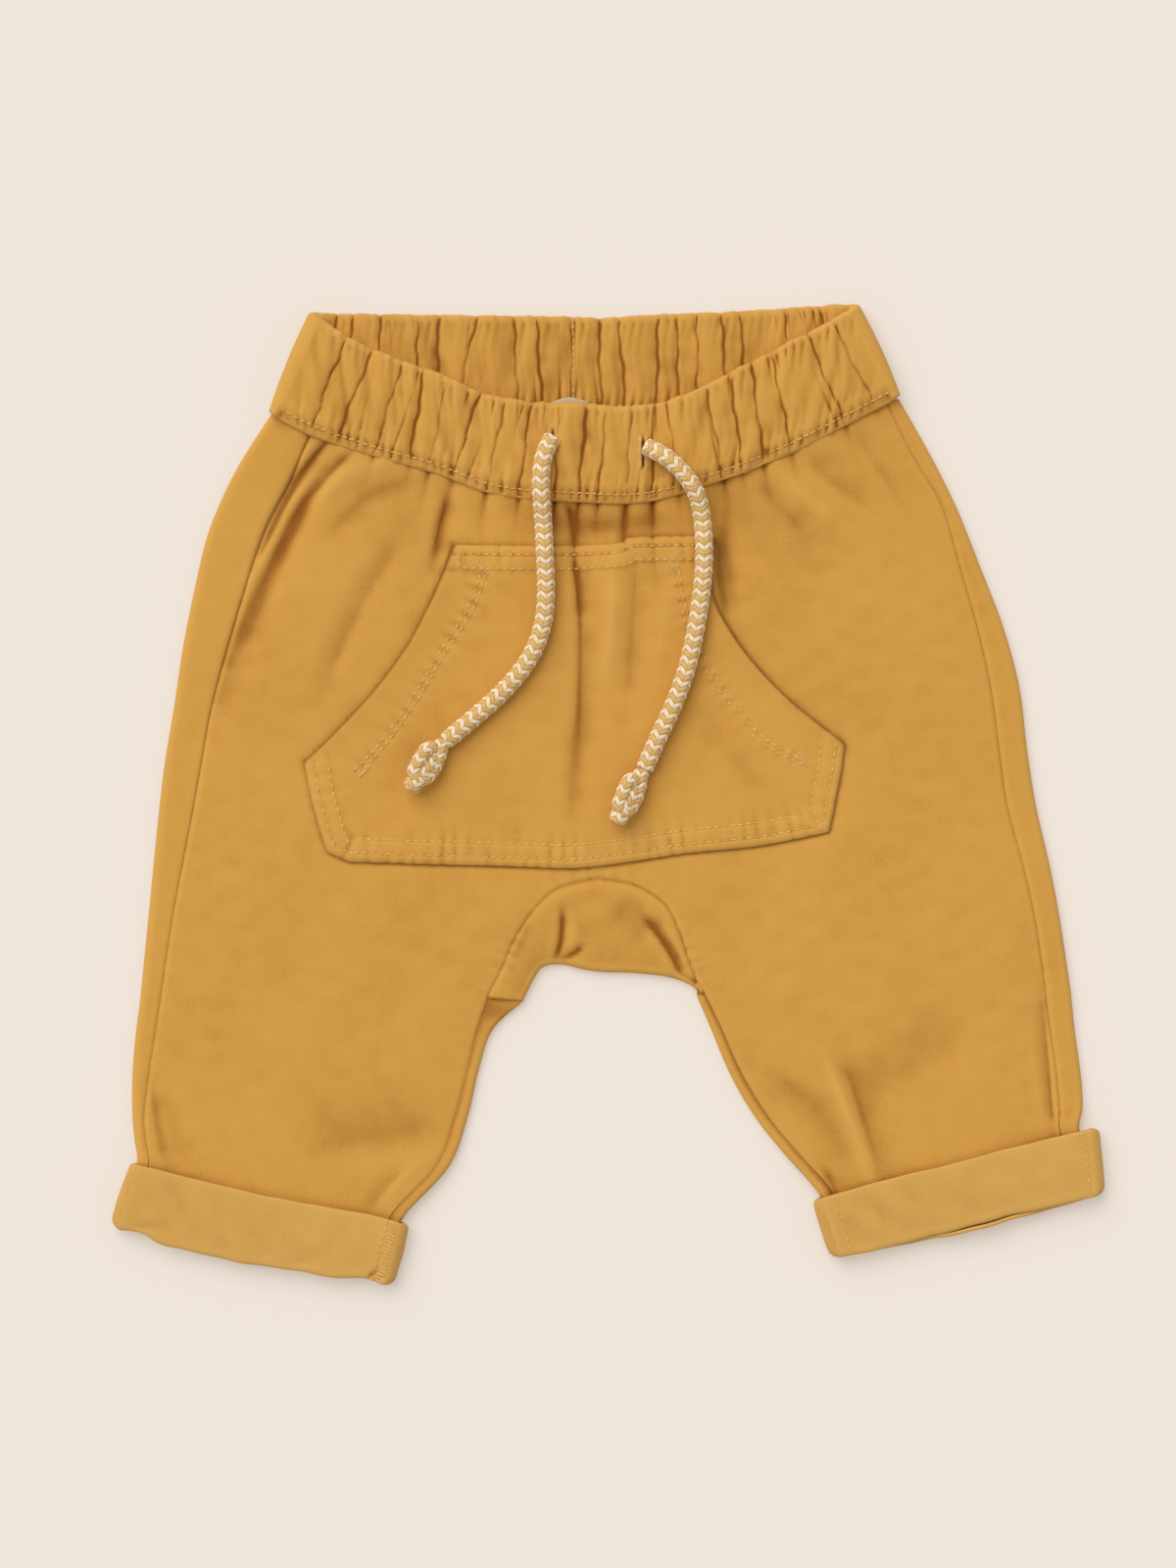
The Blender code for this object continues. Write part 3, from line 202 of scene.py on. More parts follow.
# Creases of the upper cloth: three points of the line, its left and right widths, and its depth.
# A depth below 0 is a ridge.
CREASES: Rows = (
    (-92.0, 124.5, -107.3, 104.5, -119.8, 77.0, 2.4, 1.5, 3.2),
    (-100.5, 108.5, -110.5, 94.5, -121.5, 70.0, 2.0, 1.7, -0.8),
    (-96.5, 110.5, -112.8, 80.5, -128.5, 45.0, 4.4, 2.1, 2.5),
    (-119.0, 68.0, -127.0, 47.0, -134.0, 24.0, 6.5, 3.0, 1.0),
    (-99.0, 106.5, -108.0, 91.5, -116.0, 73.0, 2.8, 1.8, 1.7),
    (-69.7, 115.2, -92.0, 106.5, -103.5, 92.5, 3.6, 4.2, -0.9),
    (-85.5, 118.0, -93.5, 110.0, -102.5, 99.0, 1.8, 2.4, 1.4),
    (-60.0, 108.5, -82.0, 101.0, -98.0, 84.0, 5.0, 2.6, 0.8),
    (-66.7, 94.8, -86.0, 61.0, -98.7, 30.8, 3.0, 5.0, 0.9),
    (-79.0, 88.0, -94.0, 60.0, -106.0, 30.0, 5.0, 7.0, -0.5),
    (-53.3, 105.0, -57.2, 91.8, -59.7, 76.8, 3.6, 1.5, 2.2),
    (-14.6, 100.5, -11.9, 91.8, -11.5, 82.2, 2.4, 1.6, 1.5),
    (6.0, 100.5, 5.5, 92.0, 5.0, 83.5, 2.2, 1.6, 1.3),
    (-26.0, 93.0, 0.0, 91.6, 26.0, 94.6, 4.5, 5.5, 1.0),
    (-12.0, 96.0, -9.2, 56.0, -10.5, 2.0, 5.5, 2.2, 1.3),
    (-12.5, 82.0, -10.4, 72.0, -9.6, 58.0, 3.0, 1.6, 1.2),
    (-10.2, 34.0, -11.4, 14.0, -12.6, -16.0, 7.0, 4.0, 0.7),
    (2.4, 80.0, 1.2, 60.0, -1.5, 34.0, 3.6, 3.6, -0.9),
    (10.0, 88.0, 8.8, 62.0, 6.0, 26.0, 5.4, 3.4, 0.9),
    (22.0, 79.0, 20.0, 62.0, 15.0, 40.0, 4.0, 4.0, -0.4),
    (-44.0, 40.0, -60.0, 20.0, -72.0, 4.0, 9.0, 9.0, 0.5),
    (30.0, 34.0, 44.0, 12.0, 60.0, -2.0, 8.0, 8.0, 0.5),
    (38.0, 104.5, 60.0, 91.0, 84.0, 81.5, 8.0, 12.0, 0.6),
    (50.0, 109.8, 57.0, 100.0, 69.0, 88.0, 5.0, 3.0, 0.7),
    (58.0, 112.0, 67.0, 101.0, 80.0, 92.0, 3.0, 3.0, -0.6),
    (66.0, 118.5, 75.0, 108.0, 92.0, 96.0, 5.5, 3.0, 0.7),
    (83.0, 126.0, 92.0, 112.0, 103.0, 95.0, 4.0, 2.4, 0.5),
    (40.5, 100.0, 40.0, 84.0, 44.0, 62.0, 2.6, 3.4, 0.8),
    (38.2, 90.0, 37.6, 75.0, 41.0, 58.0, 3.0, 1.4, 1.2),
    (-154.8, -98.0, -152.6, -115.5, -149.3, -130.2, 3.4, 1.8, 1.3),
    (-150.0, -98.5, -147.0, -116.0, -143.0, -129.0, 5.6, 2.6, 0.6),
    (-54.0, -112.0, -78.0, -116.0, -106.0, -119.5, 6.0, 11.0, 1.0),
    (-52.0, -121.0, -72.0, -126.0, -92.0, -127.0, 4.0, 4.0, -0.5),
    (-63.0, -125.0, -71.5, -133.0, -78.5, -142.5, 2.4, 2.4, -1.3),
    (-67.0, -126.0, -76.5, -135.0, -85.0, -144.0, 1.8, 3.6, 1.3),
    (50.0, -91.5, 72.0, -108.5, 86.8, -132.2, 4.6, 7.0, 1.4),
    (73.0, -87.0, 83.4, -113.2, 92.2, -138.2, 1.8, 2.8, -1.3),
    (79.0, -85.0, 87.2, -110.5, 95.4, -138.2, 7.5, 1.6, 1.6),
    (124.7, -76.8, 103.0, -90.0, 84.7, -100.5, 9.0, 12.0, 0.8),
    (73.6, -127.0, 76.5, -133.0, 78.6, -139.0, 1.4, 1.8, 2.0),
    (72.0, -126.0, 77.0, -131.0, 84.0, -134.0, 2.0, 2.0, 0.9),
    (147.4, -64.0, 150.2, -94.0, 152.8, -134.0, 1.0, 2.6, 1.3),
    (144.0, -82.0, 146.0, -99.0, 148.2, -118.0, 2.6, 2.6, -0.4),
    (-40.0, -71.5, -36.5, -74.5, -35.0, -77.5, 3.0, 3.4, 1.3),
    (-26.0, -37.0, -28.5, -48.0, -33.0, -58.0, 3.0, 3.0, 0.5),
    (-15.4, -38.0, -16.0, -49.5, -18.2, -57.4, 1.8, 1.2, 1.6),
    (-7.8, -51.2, -12.2, -54.2, -17.4, -57.2, 1.4, 1.1, 1.3),
    (-12.0, -44.0, -11.4, -49.0, -12.4, -54.0, 1.8, 1.8, -0.6),
    (0.0, -37.0, 9.0, -43.0, 17.0, -50.0, 5.5, 6.0, 0.8),
    (11.0, -39.5, 19.6, -51.6, 26.6, -63.4, 3.4, 1.2, 1.9),
    (19.8, -44.0, 24.6, -52.5, 28.4, -61.0, 1.2, 1.4, -0.9),
)

GUSSET_FOLD: Rows = (
    (-28.3, -69.4), (-25.6, -64.0), (-22.0, -58.9), (-15.4, -58.0), (-8.6, -59.6), (-2.0, -60.6),
    (6.0, -60.8), (13.0, -61.3), (20.0, -62.2), (25.0, -63.6), (28.6, -65.2), (31.0, -67.2),
)

# The pocket's sides, top to bottom: the open edge to row 6, then the sewn side. Its top and bottom edges.
OPEN_ROWS = 6
POCKET_LEFT: Rows = (
    (-52.7, 84.5), (-56.6, 74.0), (-61.6, 62.8), (-68.7, 49.6), (-79.2, 35.4), (-91.0, 22.6),
    (-103.0, 10.8), (-100.4, -2.0), (-97.6, -12.0), (-95.2, -19.4), (-88.0, -22.6),
)
POCKET_RIGHT: Rows = (
    (36.0, 86.2), (34.8, 76.0), (36.2, 66.0), (41.6, 55.4), (50.6, 43.4), (62.6, 31.2), (80.3, 17.2),
    (79.4, 9.0), (77.8, 1.0), (76.4, -6.4), (75.0, -12.6),
)
POCKET_TOP: Rows = (
    (-52.7, 84.5), (-34.0, 84.2), (-16.3, 84.2), (0.0, 84.7), (4.3, 85.3), (7.2, 86.8), (12.0, 87.2),
    (29.0, 87.4), (36.0, 86.2),
)
POCKET_BOTTOM: Rows = (
    (-88.0, -22.6), (-60.0, -23.5), (-34.0, -24.2), (-11.3, -24.8), (9.7, -22.4), (27.0, -19.8),
    (53.3, -17.0), (75.0, -12.6),
)
POCKET_HEM_LEFT: Rows = (
    (-41.8, 76.5), (-46.2, 63.8), (-54.9, 50.0), (-66.2, 31.3), (-77.0, 16.4), (-85.0, 8.0),
)
POCKET_HEM_RIGHT: Rows = (
    (22.8, 77.5), (26.8, 60.3), (33.2, 43.8), (43.2, 30.0), (52.0, 18.8), (66.0, 11.2),
)

CUFF_LEFT_TOP: Rows = (
    (-159.0, -126.4), (-151.0, -128.2), (-137.3, -131.8), (-119.0, -136.0), (-101.0, -139.6),
    (-81.0, -143.0), (-70.8, -145.9),
)
CUFF_LEFT_LOW: Rows = (
    (-166.3, -148.0), (-158.6, -149.3), (-151.7, -153.0), (-142.3, -155.4), (-127.0, -158.8),
    (-107.0, -162.0), (-92.0, -164.4), (-82.6, -164.6), (-76.2, -166.9),
)
CUFF_RIGHT_TOP: Rows = (
    (73.0, -137.4), (91.0, -132.2), (112.3, -127.0), (132.0, -121.8), (151.7, -116.8), (164.0, -114.2),
)
CUFF_RIGHT_LOW: Rows = (
    (79.6, -157.4), (92.0, -154.9), (103.7, -152.0), (118.0, -148.2), (136.7, -143.4), (154.0, -139.6),
    (166.0, -136.8),
)

CUFF_TOPS = (CUFF_LEFT_TOP, CUFF_RIGHT_TOP)

# Dents of the left turn-up: the run and the share of its height, how it leans, how wide and tall, how deep.
CUFF_DENTS: Rows = (
    (88.0, 0.09, 14.0, 0.9, 0.11, 1.1),
    (90.4, 0.06, 10.0, 1.2, 0.1, 0.6),
    (8.0, 0.12, 30.0, 3.0, 0.16, 0.4),
    (64.0, 0.2, 26.0, 5.0, 0.3, 0.25),
)

# The drawcords' routes from the buttonholes to the knots, in plan, and the knots' ends.
LEFT_CORD: Rows = (
    (-18.3, 121.5), (-21.6, 115.4), (-22.7, 105.5), (-21.9, 93.5), (-21.3, 81.0), (-20.9, 69.5),
    (-21.8, 58.2), (-25.2, 48.5), (-30.6, 40.3), (-38.3, 32.2), (-46.8, 24.8), (-55.4, 17.6),
)
RIGHT_CORD: Rows = (
    (12.3, 118.2), (19.3, 114.6), (26.0, 108.4), (30.6, 100.8), (32.2, 92.0), (32.7, 80.8),
    (31.9, 69.0), (29.8, 55.6), (26.8, 42.6), (22.2, 30.0), (16.8, 18.6), (12.2, 8.0),
)
LEFT_KNOT: Rows = ((-57.6, 15.8), (-67.6, -0.2))
RIGHT_KNOT: Rows = ((10.2, 5.6), (2.4, -11.6))
LABEL_SIZE = (12.4, 12.0, 0.6)
LABEL_CENTRE = (-12.8, 128.4)


class Slot(Enum):
    """The record's material slots."""

    CLOTH = "mustard_cloth"
    REVERSE = "mustard_cloth_reverse"
    TAPE = "label_tape"
    BRAID = "braided_cord"


# ---------------------------------------------------------------- curves and relief


def smooth_curve(points: Rows | Array, t: Array) -> Array:
    """Follow the smooth curve through a table's rows.

    Args:
        points: The rows.
        t: Shares of the way, from 0 at the first row to 1 at the last.

    Returns:
        One row for each share.
    """
    table = np.asarray(points, float)
    t = np.clip(np.atleast_1d(t), 0.0, 1.0) * (len(table) - 1)
    i = np.minimum(t.astype(int), len(table) - 2)
    f = (t - i)[:, None]
    start, end = table[i], table[i + 1]
    slope_0 = 0.5 * (end - table[np.maximum(i - 1, 0)])
    slope_1 = 0.5 * (table[np.minimum(i + 2, len(table) - 1)] - start)
    cube, square = f * f * f, f * f
    return (
        (2 * cube - 3 * square + 1) * start
        + (cube - 2 * square + f) * slope_0
        + (3 * square - 2 * cube) * end
        + (cube - square) * slope_1
    )


def run_of(points: Array) -> Array:
    """Distance along a line of points, from its first one."""
    steps = np.linalg.norm(np.diff(points, axis=0), axis=1)
    return np.concatenate([[0.0], np.cumsum(steps)])


def even_points(points: Array, count: int) -> Array:
    """Place that many points evenly along a line."""
    run = run_of(points)
    return np.stack([np.interp(np.linspace(0, run[-1], count), run, axis) for axis in points.T], axis=1)


def even_curve(points: Rows, count: int) -> Array:
    """Place that many points evenly along a table's smooth curve."""
    return even_points(smooth_curve(points, np.linspace(0, 1, 24 * len(points))), count)


def y_on(curve: Rows, x: Array | float) -> Array:
    """Read a curve that runs left to right: its y at each x."""
    fine = smooth_curve(curve, np.linspace(0, 1, 300))
    return np.interp(x, fine[:, 0], fine[:, 1])


def near_line(x: Array, y: Array, line: Array) -> tuple[Array, Array, Array]:
    """Measure points against a line in plan.

    Args:
        x, y: The points in plan.
        line: The line's points.

    Returns:
        The distance to it, the run along it, and the side: 1 to its left and -1 to its right.
    """
    shape = np.shape(x)
    points = np.stack([np.ravel(x), np.ravel(y)], axis=1)
    start = line[:-1]
    along = line[1:] - line[:-1]
    length = np.maximum((along**2).sum(-1), 1e-9)
    run = run_of(line)
    distance = np.empty(len(points))
    where = np.empty(len(points))
    side = np.empty(len(points))
    chunk = 6000
    for first in range(0, len(points), chunk):
        offset = points[first : first + chunk, None] - start
        t = np.clip((offset * along).sum(-1) / length, 0, 1)
        away = offset - t[..., None] * along
        gap = (away**2).sum(-1)
        best = gap.argmin(axis=1)
        rows = np.arange(len(best))
        distance[first : first + chunk] = np.sqrt(gap[rows, best])
        where[first : first + chunk] = run[best] + t[rows, best] * np.sqrt(length[best])
        cross = along[best, 0] * away[rows, best, 1] - along[best, 1] * away[rows, best, 0]
        side[first : first + chunk] = np.where(cross >= 0, 1.0, -1.0)
    return distance.reshape(shape), where.reshape(shape), side.reshape(shape)


def ease(value: Array, low: float, high: float) -> Array:
    """Rise smoothly from 0 at the low value to 1 at the high one."""
    t = np.clip((value - low) / (high - low), 0, 1)
    return t * t * (3 - 2 * t)


def quarter_round(inset: Array) -> Array:
    """Rise like a quarter of a circle, from 0 at an edge to 1 at an inset of 1."""
    return np.sqrt(1 - (1 - np.clip(inset, 0, 1)) ** 2)


def hump(away: Array, width: Array | float) -> Array:
    """A soft hump: 1 in the middle, 0.37 at its width and nearly 0 at twice that."""
    return np.exp(-((away / width) ** 2))


@dataclass(frozen=True)
class Wrinkles:
    """Soft random relief between two wavelengths, mostly across one heading."""

    seed: int
    shortest: float
    longest: float
    heading: float = 0.0
    spread: float = 180.0
    waves: int = 26

    def at(self, x: Array, y: Array) -> Array:
        """Read the relief in plan.

        Args:
            x, y: The points in plan.

        Returns:
            Heights of about -1 to 1.
        """
        rng = np.random.default_rng(self.seed)
        length = np.exp(rng.uniform(math.log(self.shortest), math.log(self.longest), self.waves))
        heading = np.radians(self.heading + rng.uniform(-0.5, 0.5, self.waves) * self.spread)
        phase = rng.uniform(0, 2 * math.pi, self.waves)
        total = np.zeros(np.shape(x))
        for size, turn, start in zip(length, heading, phase):
            total += np.cos(2 * math.pi * (x * math.cos(turn) + y * math.sin(turn)) / size + start)
        return total * math.sqrt(1 / self.waves)


@dataclass(frozen=True)
class Pucker:
    """Small waves that a seam's stitches draw up on both sides of its line."""

    line: Array
    spacing: float
    reach: float
    depth: float
    groove: float = 0.0
    groove_width: float = 0.7

    def at(self, x: Array, y: Array) -> Array:
        """Read how far the seam lowers the cloth.

        Args:
            x, y: The points in plan.

        Returns:
            The depth at each point.
        """
        distance, run, side = near_line(x, y, self.line)
        warped = run + 0.9 * np.sin(run * 0.29 + 1.7) + 0.5 * np.sin(run * 0.83)
        wave = 0.5 + 0.5 * np.cos(2 * math.pi * warped / self.spacing + 0.6 * side)
        strength = 0.62 + 0.38 * np.sin(run * 0.13 + 0.7 * side)
        waves = self.depth * wave * strength * np.exp(-((distance / self.reach) ** 1.4))
        return waves + self.groove * hump(distance, self.groove_width)


def crease_depth(x: Array, y: Array, table: Rows = CREASES) -> Array:
    """Sum the creases of the upper cloth.

    Args:
        x, y: The points in plan.
        table: The creases' rows.

    Returns:
        How far they lower it.
    """
    total = np.zeros(np.shape(x))
    for x0, y0, x1, y1, x2, y2, left, right, depth in table:
        line = smooth_curve(((x0, y0), (x1, y1), (x2, y2)), np.linspace(0, 1, 12))
        reach = 3.2 * max(left, right)
        low, high = line.min(0) - reach, line.max(0) + reach
        near = (x > low[0]) & (x < high[0]) & (y > low[1]) & (y < high[1])
        if not near.any():
            continue
        distance, run, side = near_line(x[near], y[near], line)
        share = run / run_of(line)[-1]
        bulge = ease(share, 0.0, 0.3) * (1 - ease(share, 0.7, 1.0))
        mean = 0.5 * (left + right)
        width = mean + (np.where(side > 0, left, right) - mean) * bulge
        total[near] += depth * (0.22 + 0.78 * bulge) * np.exp(-((distance / width) ** 1.7))
    return total


# ---------------------------------------------------------------- the garment's plan and upper cloth


@dataclass(frozen=True)
class HalfPlan:
    """One half of the body in plan; side is -1 on the left and 1 on the right."""

    side: int
    rows: Rows

    def sections(self, steps: Array) -> dict[str, Array]:
        """Read the table's columns.

        Args:
            steps: Row numbers with their fractions.

        Returns:
            The columns at each step, by name.
        """
        table = np.asarray(self.rows, float)
        values = np.zeros((len(steps), table.shape[1]))
        last = len(table) - 1
        outer, inner = slice(0, 4), slice(4, 9)
        stretches = (
            (0, CROTCH_ROW, outer), (CROTCH_ROW + 1, last, outer), (0, APEX_ROW, inner),
            (APEX_ROW, CROTCH_ROW, inner), (CROTCH_ROW + 1, last, inner),
        )
        for first, end, columns in stretches:
            chosen = (steps >= first) & (steps <= end)
            part = table[first : end + 1, columns]
            values[chosen, columns] = smooth_curve(part, (steps[chosen] - first) / (end - first))
        return dict(zip(BODY_COLUMNS, values.T))


LEFT_HALF = HalfPlan(-1, LEFT_BODY)
RIGHT_HALF = HalfPlan(1, RIGHT_BODY)
TORSO_STEPS = np.linspace(0, CROTCH_ROW, 11 * CROTCH_ROW + 1)
LEG_STEPS = np.linspace(CROTCH_ROW + 1, len(LEFT_BODY) - 1, 47)
STEPS = np.concatenate([TORSO_STEPS, LEG_STEPS])


def plan_line(half: HalfPlan, column: str, steps: Array) -> Array:
    """Trace one of a half's edges in plan: its edge, seam, front or back."""
    rows = half.sections(steps)
    return np.stack([rows[column + "_x"], rows[column + "_y"]], axis=1)


def gusset_seam(count: int) -> Array:
    """Trace the gusset's seam, from the left leg over its top to the right leg."""
    arc = np.linspace(APEX_ROW, CROTCH_ROW, count)
    return np.concatenate([plan_line(LEFT_HALF, "front", arc)[::-1], plan_line(RIGHT_HALF, "front", arc)[1:]])


@dataclass
class UpperCloth:
    """The cloth that lies on top, as a height over the surface in plan."""

    edge_z: float = 2.6
    loft: float = 1.8
    loft_reach: float = 18.0
    waist_rise: float = 1.3
    waist_reach: float = 14.0
    drape: float = 0.42
    crumple: float = 0.1
    outline: Array = field(init=False)
    pocket_edge_shadows: list[tuple[Array, float]] = field(init=False)
    seams: list[Pucker] = field(init=False)

    def __post_init__(self) -> None:
        """Trace the outline and the seams once."""
        torso = np.linspace(0, CROTCH_ROW, 60)
        leg = np.linspace(CROTCH_ROW + 1, len(LEFT_BODY) - 1, 40)
        both = np.concatenate([torso, leg])
        self.outline = np.concatenate([
            plan_line(LEFT_HALF, "edge", both), plan_line(LEFT_HALF, "back", leg)[::-1],
            smooth_curve(GUSSET_FOLD, np.linspace(0, 1, 30)), plan_line(RIGHT_HALF, "back", leg),
            plan_line(RIGHT_HALF, "edge", both)[::-1],
        ])
        bottom = smooth_curve(POCKET_BOTTOM, np.linspace(0, 1, 50))
        pocket_foot = np.concatenate([
            np.array(POCKET_LEFT[OPEN_ROWS:-1]), bottom, np.array(POCKET_RIGHT[OPEN_ROWS:-1])[::-1],
        ])
        side = np.linspace(0, 1, 50)
        # Strengths of the painted shadow along the pocket's left and right open edges, its top and its foot.
        self.pocket_edge_shadows = [
            (smooth_curve(POCKET_LEFT[: OPEN_ROWS + 1], side), 0.62),
            (smooth_curve(POCKET_RIGHT[: OPEN_ROWS + 1], side), 0.72),
            (smooth_curve(POCKET_TOP, side), 0.22), (pocket_foot, 0.3),
        ]
        halves = (LEFT_HALF, RIGHT_HALF)
        self.seams = [
            *(Pucker(plan_line(half, "seam", both), 6.5, 3.0, 0.14, 0.75, 0.75) for half in halves),
            *(Pucker(plan_line(half, "front", leg), 6.0, 3.0, 0.14, 0.7, 0.75) for half in halves),
            Pucker(gusset_seam(30), 5.0, 3.2, 0.22, 0.55, 0.8),
            Pucker(smooth_curve(POCKET_TOP, np.linspace(0, 1, 50)), 5.2, 3.4, 0.2, 0.3, 1.2),
            Pucker(pocket_foot, 5.2, 3.4, 0.18, 0.35, 1.2),
            *(Pucker(even_curve(top, 40), 8.0, 4.5, 0.4, 0.7, 2.0) for top in CUFF_TOPS),
        ]

    def waist_gathers(self, x: Array, y: Array) -> Array:
        """Carry the band's gathers a little way down the cloth.

        Args:
            x, y: The points in plan.

        Returns:
            How far they lower it.
        """
        below = y_on(FRONT_SEAM, x) - y
        near = (below > -4) & (below < 40)
        total = np.zeros(np.shape(x))
        for i, (top_x, low_x, width, _, depth) in enumerate(FRONT_GATHERS):
            depth *= 0.45 + 0.35 * math.sin(3.1 * i + 1.0) + 0.55 * math.exp(-((low_x / 40.0) ** 2))
            length = 7.0 + 7.0 * depth * (1.3 + math.sin(2.3 * i))
            lean = 0.35 * (low_x - top_x) / 34.0 + 0.0022 * low_x
            fade = np.exp(-np.maximum(below[near], 0) / length) * (1 - ease(below[near], 22.0, 40.0))
            spread = width * (0.8 + 0.055 * np.maximum(below[near], 0))
            away = (x[near] - low_x - lean * np.maximum(below[near], 0)) / spread
            total[near] += 1.3 * depth * fade * np.exp(-(np.abs(away) ** 1.6))
            short = np.exp(-np.maximum(below[near], 0) / (3.0 + 2.0 * depth))
            total[near] += 0.5 * depth * short * hump(away * spread, 0.9)
        return total

    def shade(self, x: Array, y: Array) -> Array:
        """Read the painted shade that the folds, the band's edge, the turn-ups' edges and the pocket's edges
        put on the cloth.

        Args:
            x, y: The points in plan.

        Returns:
            Shares to add to the fold attribute.
        """
        below = np.maximum(y_on(FRONT_SEAM, x) - y, 0.0)
        # Painted shade in the creases and in the gathers below the band.
        painted_shade = 0.24 * crease_depth(x, y) + 0.22 * self.waist_gathers(x, y)
        # Painted shadow under the band's edge, strongest in the middle, less a slight lightening all over.
        middle = hump(x + 8.0, 42.0)
        painted_shade = painted_shade + (0.06 + 0.16 * middle) * np.exp(-below / 1.6) - 0.04
        painted_shade = painted_shade + (0.07 + 0.12 * middle) * np.exp(-below / 8.0)
        # Painted shadow line above each turn-up's top edge.
        for top in CUFF_TOPS:
            away = near_line(x, y, even_curve(top, 40))[0]
            painted_shade = painted_shade + 0.55 * np.exp(-away / 1.2) + 0.12 * np.exp(-away / 6.0)
        # Painted shadow along the pocket's edges.
        for edge, strength in self.pocket_edge_shadows:
            painted_shade = painted_shade + strength * np.exp(-near_line(x, y, edge)[0] / 0.8)
        return painted_shade

    def smooth_height(self, x: Array, y: Array) -> Array:
        """Read the cloth's height without its creases and wrinkles.

        Args:
            x, y: The points in plan.

        Returns:
            The heights.
        """
        inside = near_line(x, y, self.outline)[0]
        waist = self.waist_rise * np.exp(-np.maximum(y_on(FRONT_SEAM, x) - y, 0.0) / self.waist_reach)
        return self.edge_z + self.loft * (1 - np.exp(-inside / self.loft_reach)) + waist

    def height(self, x: Array, y: Array, raised: Array | float = 0.0) -> Array:
        """Read the height of the middle of the cloth.

        Args:
            x, y: The points in plan.
            raised: How far the leg's end has risen into its turn-up, from 0 to 1.

        Returns:
            The heights.
        """
        wide = Wrinkles(11, 34.0, 90.0, heading=20.0, spread=120.0).at(x, y)
        short = Wrinkles(12, 9.0, 24.0).at(x, y)
        soft = ease(near_line(x, y, self.outline)[0], 0.0, 22.0)
        flat = self.smooth_height(x, y) + soft * (self.drape * wide + self.crumple * short)
        flat = flat - crease_depth(x, y) - self.waist_gathers(x, y)
        for seam in self.seams:
            flat = flat - seam.at(x, y)
        floor = BACK_Z + CLOTH + 0.1
        over = flat - floor
        flat = floor + 0.5 * (over + np.sqrt(over * over + 0.5))
        return flat + raised * (LEG_END_FRONT_Z - flat)


UPPER = UpperCloth()


# ---------------------------------------------------------------- meshes


def quads(index: Array, wrap_rows: bool = False, wrap_columns: bool = False) -> Array:
    """List the cells of a grid of point numbers.

    Args:
        index: The numbers, rows by columns.
        wrap_rows: Whether the last row joins the first.
        wrap_columns: Whether the last column joins the first.

    Returns:
        Four corners for each cell.
    """
    if wrap_rows:
        index = np.concatenate([index, index[:1]])
    if wrap_columns:
        index = np.concatenate([index, index[:, :1]], axis=1)
    corners = (index[:-1, :-1], index[1:, :-1], index[1:, 1:], index[:-1, 1:])
    return np.stack(corners, axis=-1).reshape(-1, 4)


def fold_shade(points: Array, faces: Array, normals: Array) -> Array:
    """Find how deep in a fold each point lies, from the surface's bend: painted shade in creases and painted
    highlight on ridges.

    Args:
        points: The mesh's points.
        faces: Its four-cornered faces.
        normals: Its points' normals.

    Returns:
        1 in a sharp crease, 0 on flat cloth and below 0 on a ridge.
    """
    count = len(points)
    ends = np.concatenate([faces[:, [0, 1]], faces[:, [1, 2]], faces[:, [2, 3]], faces[:, [3, 0]]])
    a, b = np.concatenate([ends, ends[:, ::-1]]).T
    share = np.maximum(np.bincount(a, minlength=count), 1)

    def mean(values: Array) -> Array:
        """Take the mean over each point's neighbours."""
        return np.bincount(a, weights=values, minlength=count) / share

    mean_step = mean(np.linalg.norm(points[a] - points[b], axis=1))
    centre = np.stack([mean(points[b, k]) for k in range(3)], axis=1)
    bend = ((centre - points) * normals).sum(axis=1) / np.maximum(mean_step, 0.3) ** 2
    for _ in range(2):
        bend = 0.5 * bend + 0.5 * mean(bend[b])
    return np.clip(bend * BEND_SHADE, RIDGE_HIGHLIGHT_LIMIT, 1.0)


def add_object(name: str, data: object) -> Object:
    """Put an object in the scene.

    Args:
        name: Its name.
        data: Its mesh, light or camera.

    Returns:
        The object.
    """
    obj = bpy.data.objects.new(name, data)
    bpy.context.scene.collection.objects.link(obj)
    return obj


def fill_mesh(name: str, points: Array, corners: Array, starts: Array) -> Mesh:
    """Make a smooth mesh.

    Args:
        name: Its name.
        points: Its points in metres.
        corners: The points' numbers, face by face.
        starts: Where each face starts among them.

    Returns:
        The mesh.
    """
    mesh = bpy.data.meshes.new(name)
    mesh.vertices.add(len(points))
    mesh.vertices.foreach_set("co", points.astype(np.float32).ravel())
    mesh.loops.add(len(corners))
    mesh.loops.foreach_set("vertex_index", corners.astype(np.int32))
    mesh.polygons.add(len(starts))
    mesh.polygons.foreach_set("loop_start", starts.astype(np.int32))
    mesh.update(calc_edges=True)
    mesh.shade_smooth()
    return mesh


def read_all(items: object, attribute: str, width: int, kind: type) -> Array:
    """Read one value of every item of a mesh's list.

    Args:
        items: The list, such as its points.
        attribute: The value's name.
        width: How many numbers the value has.
        kind: The kind of number.

    Returns:
        The numbers, one after another.
    """
    values = np.empty(len(items) * width, kind)
    items.foreach_get(attribute, values)
    return values


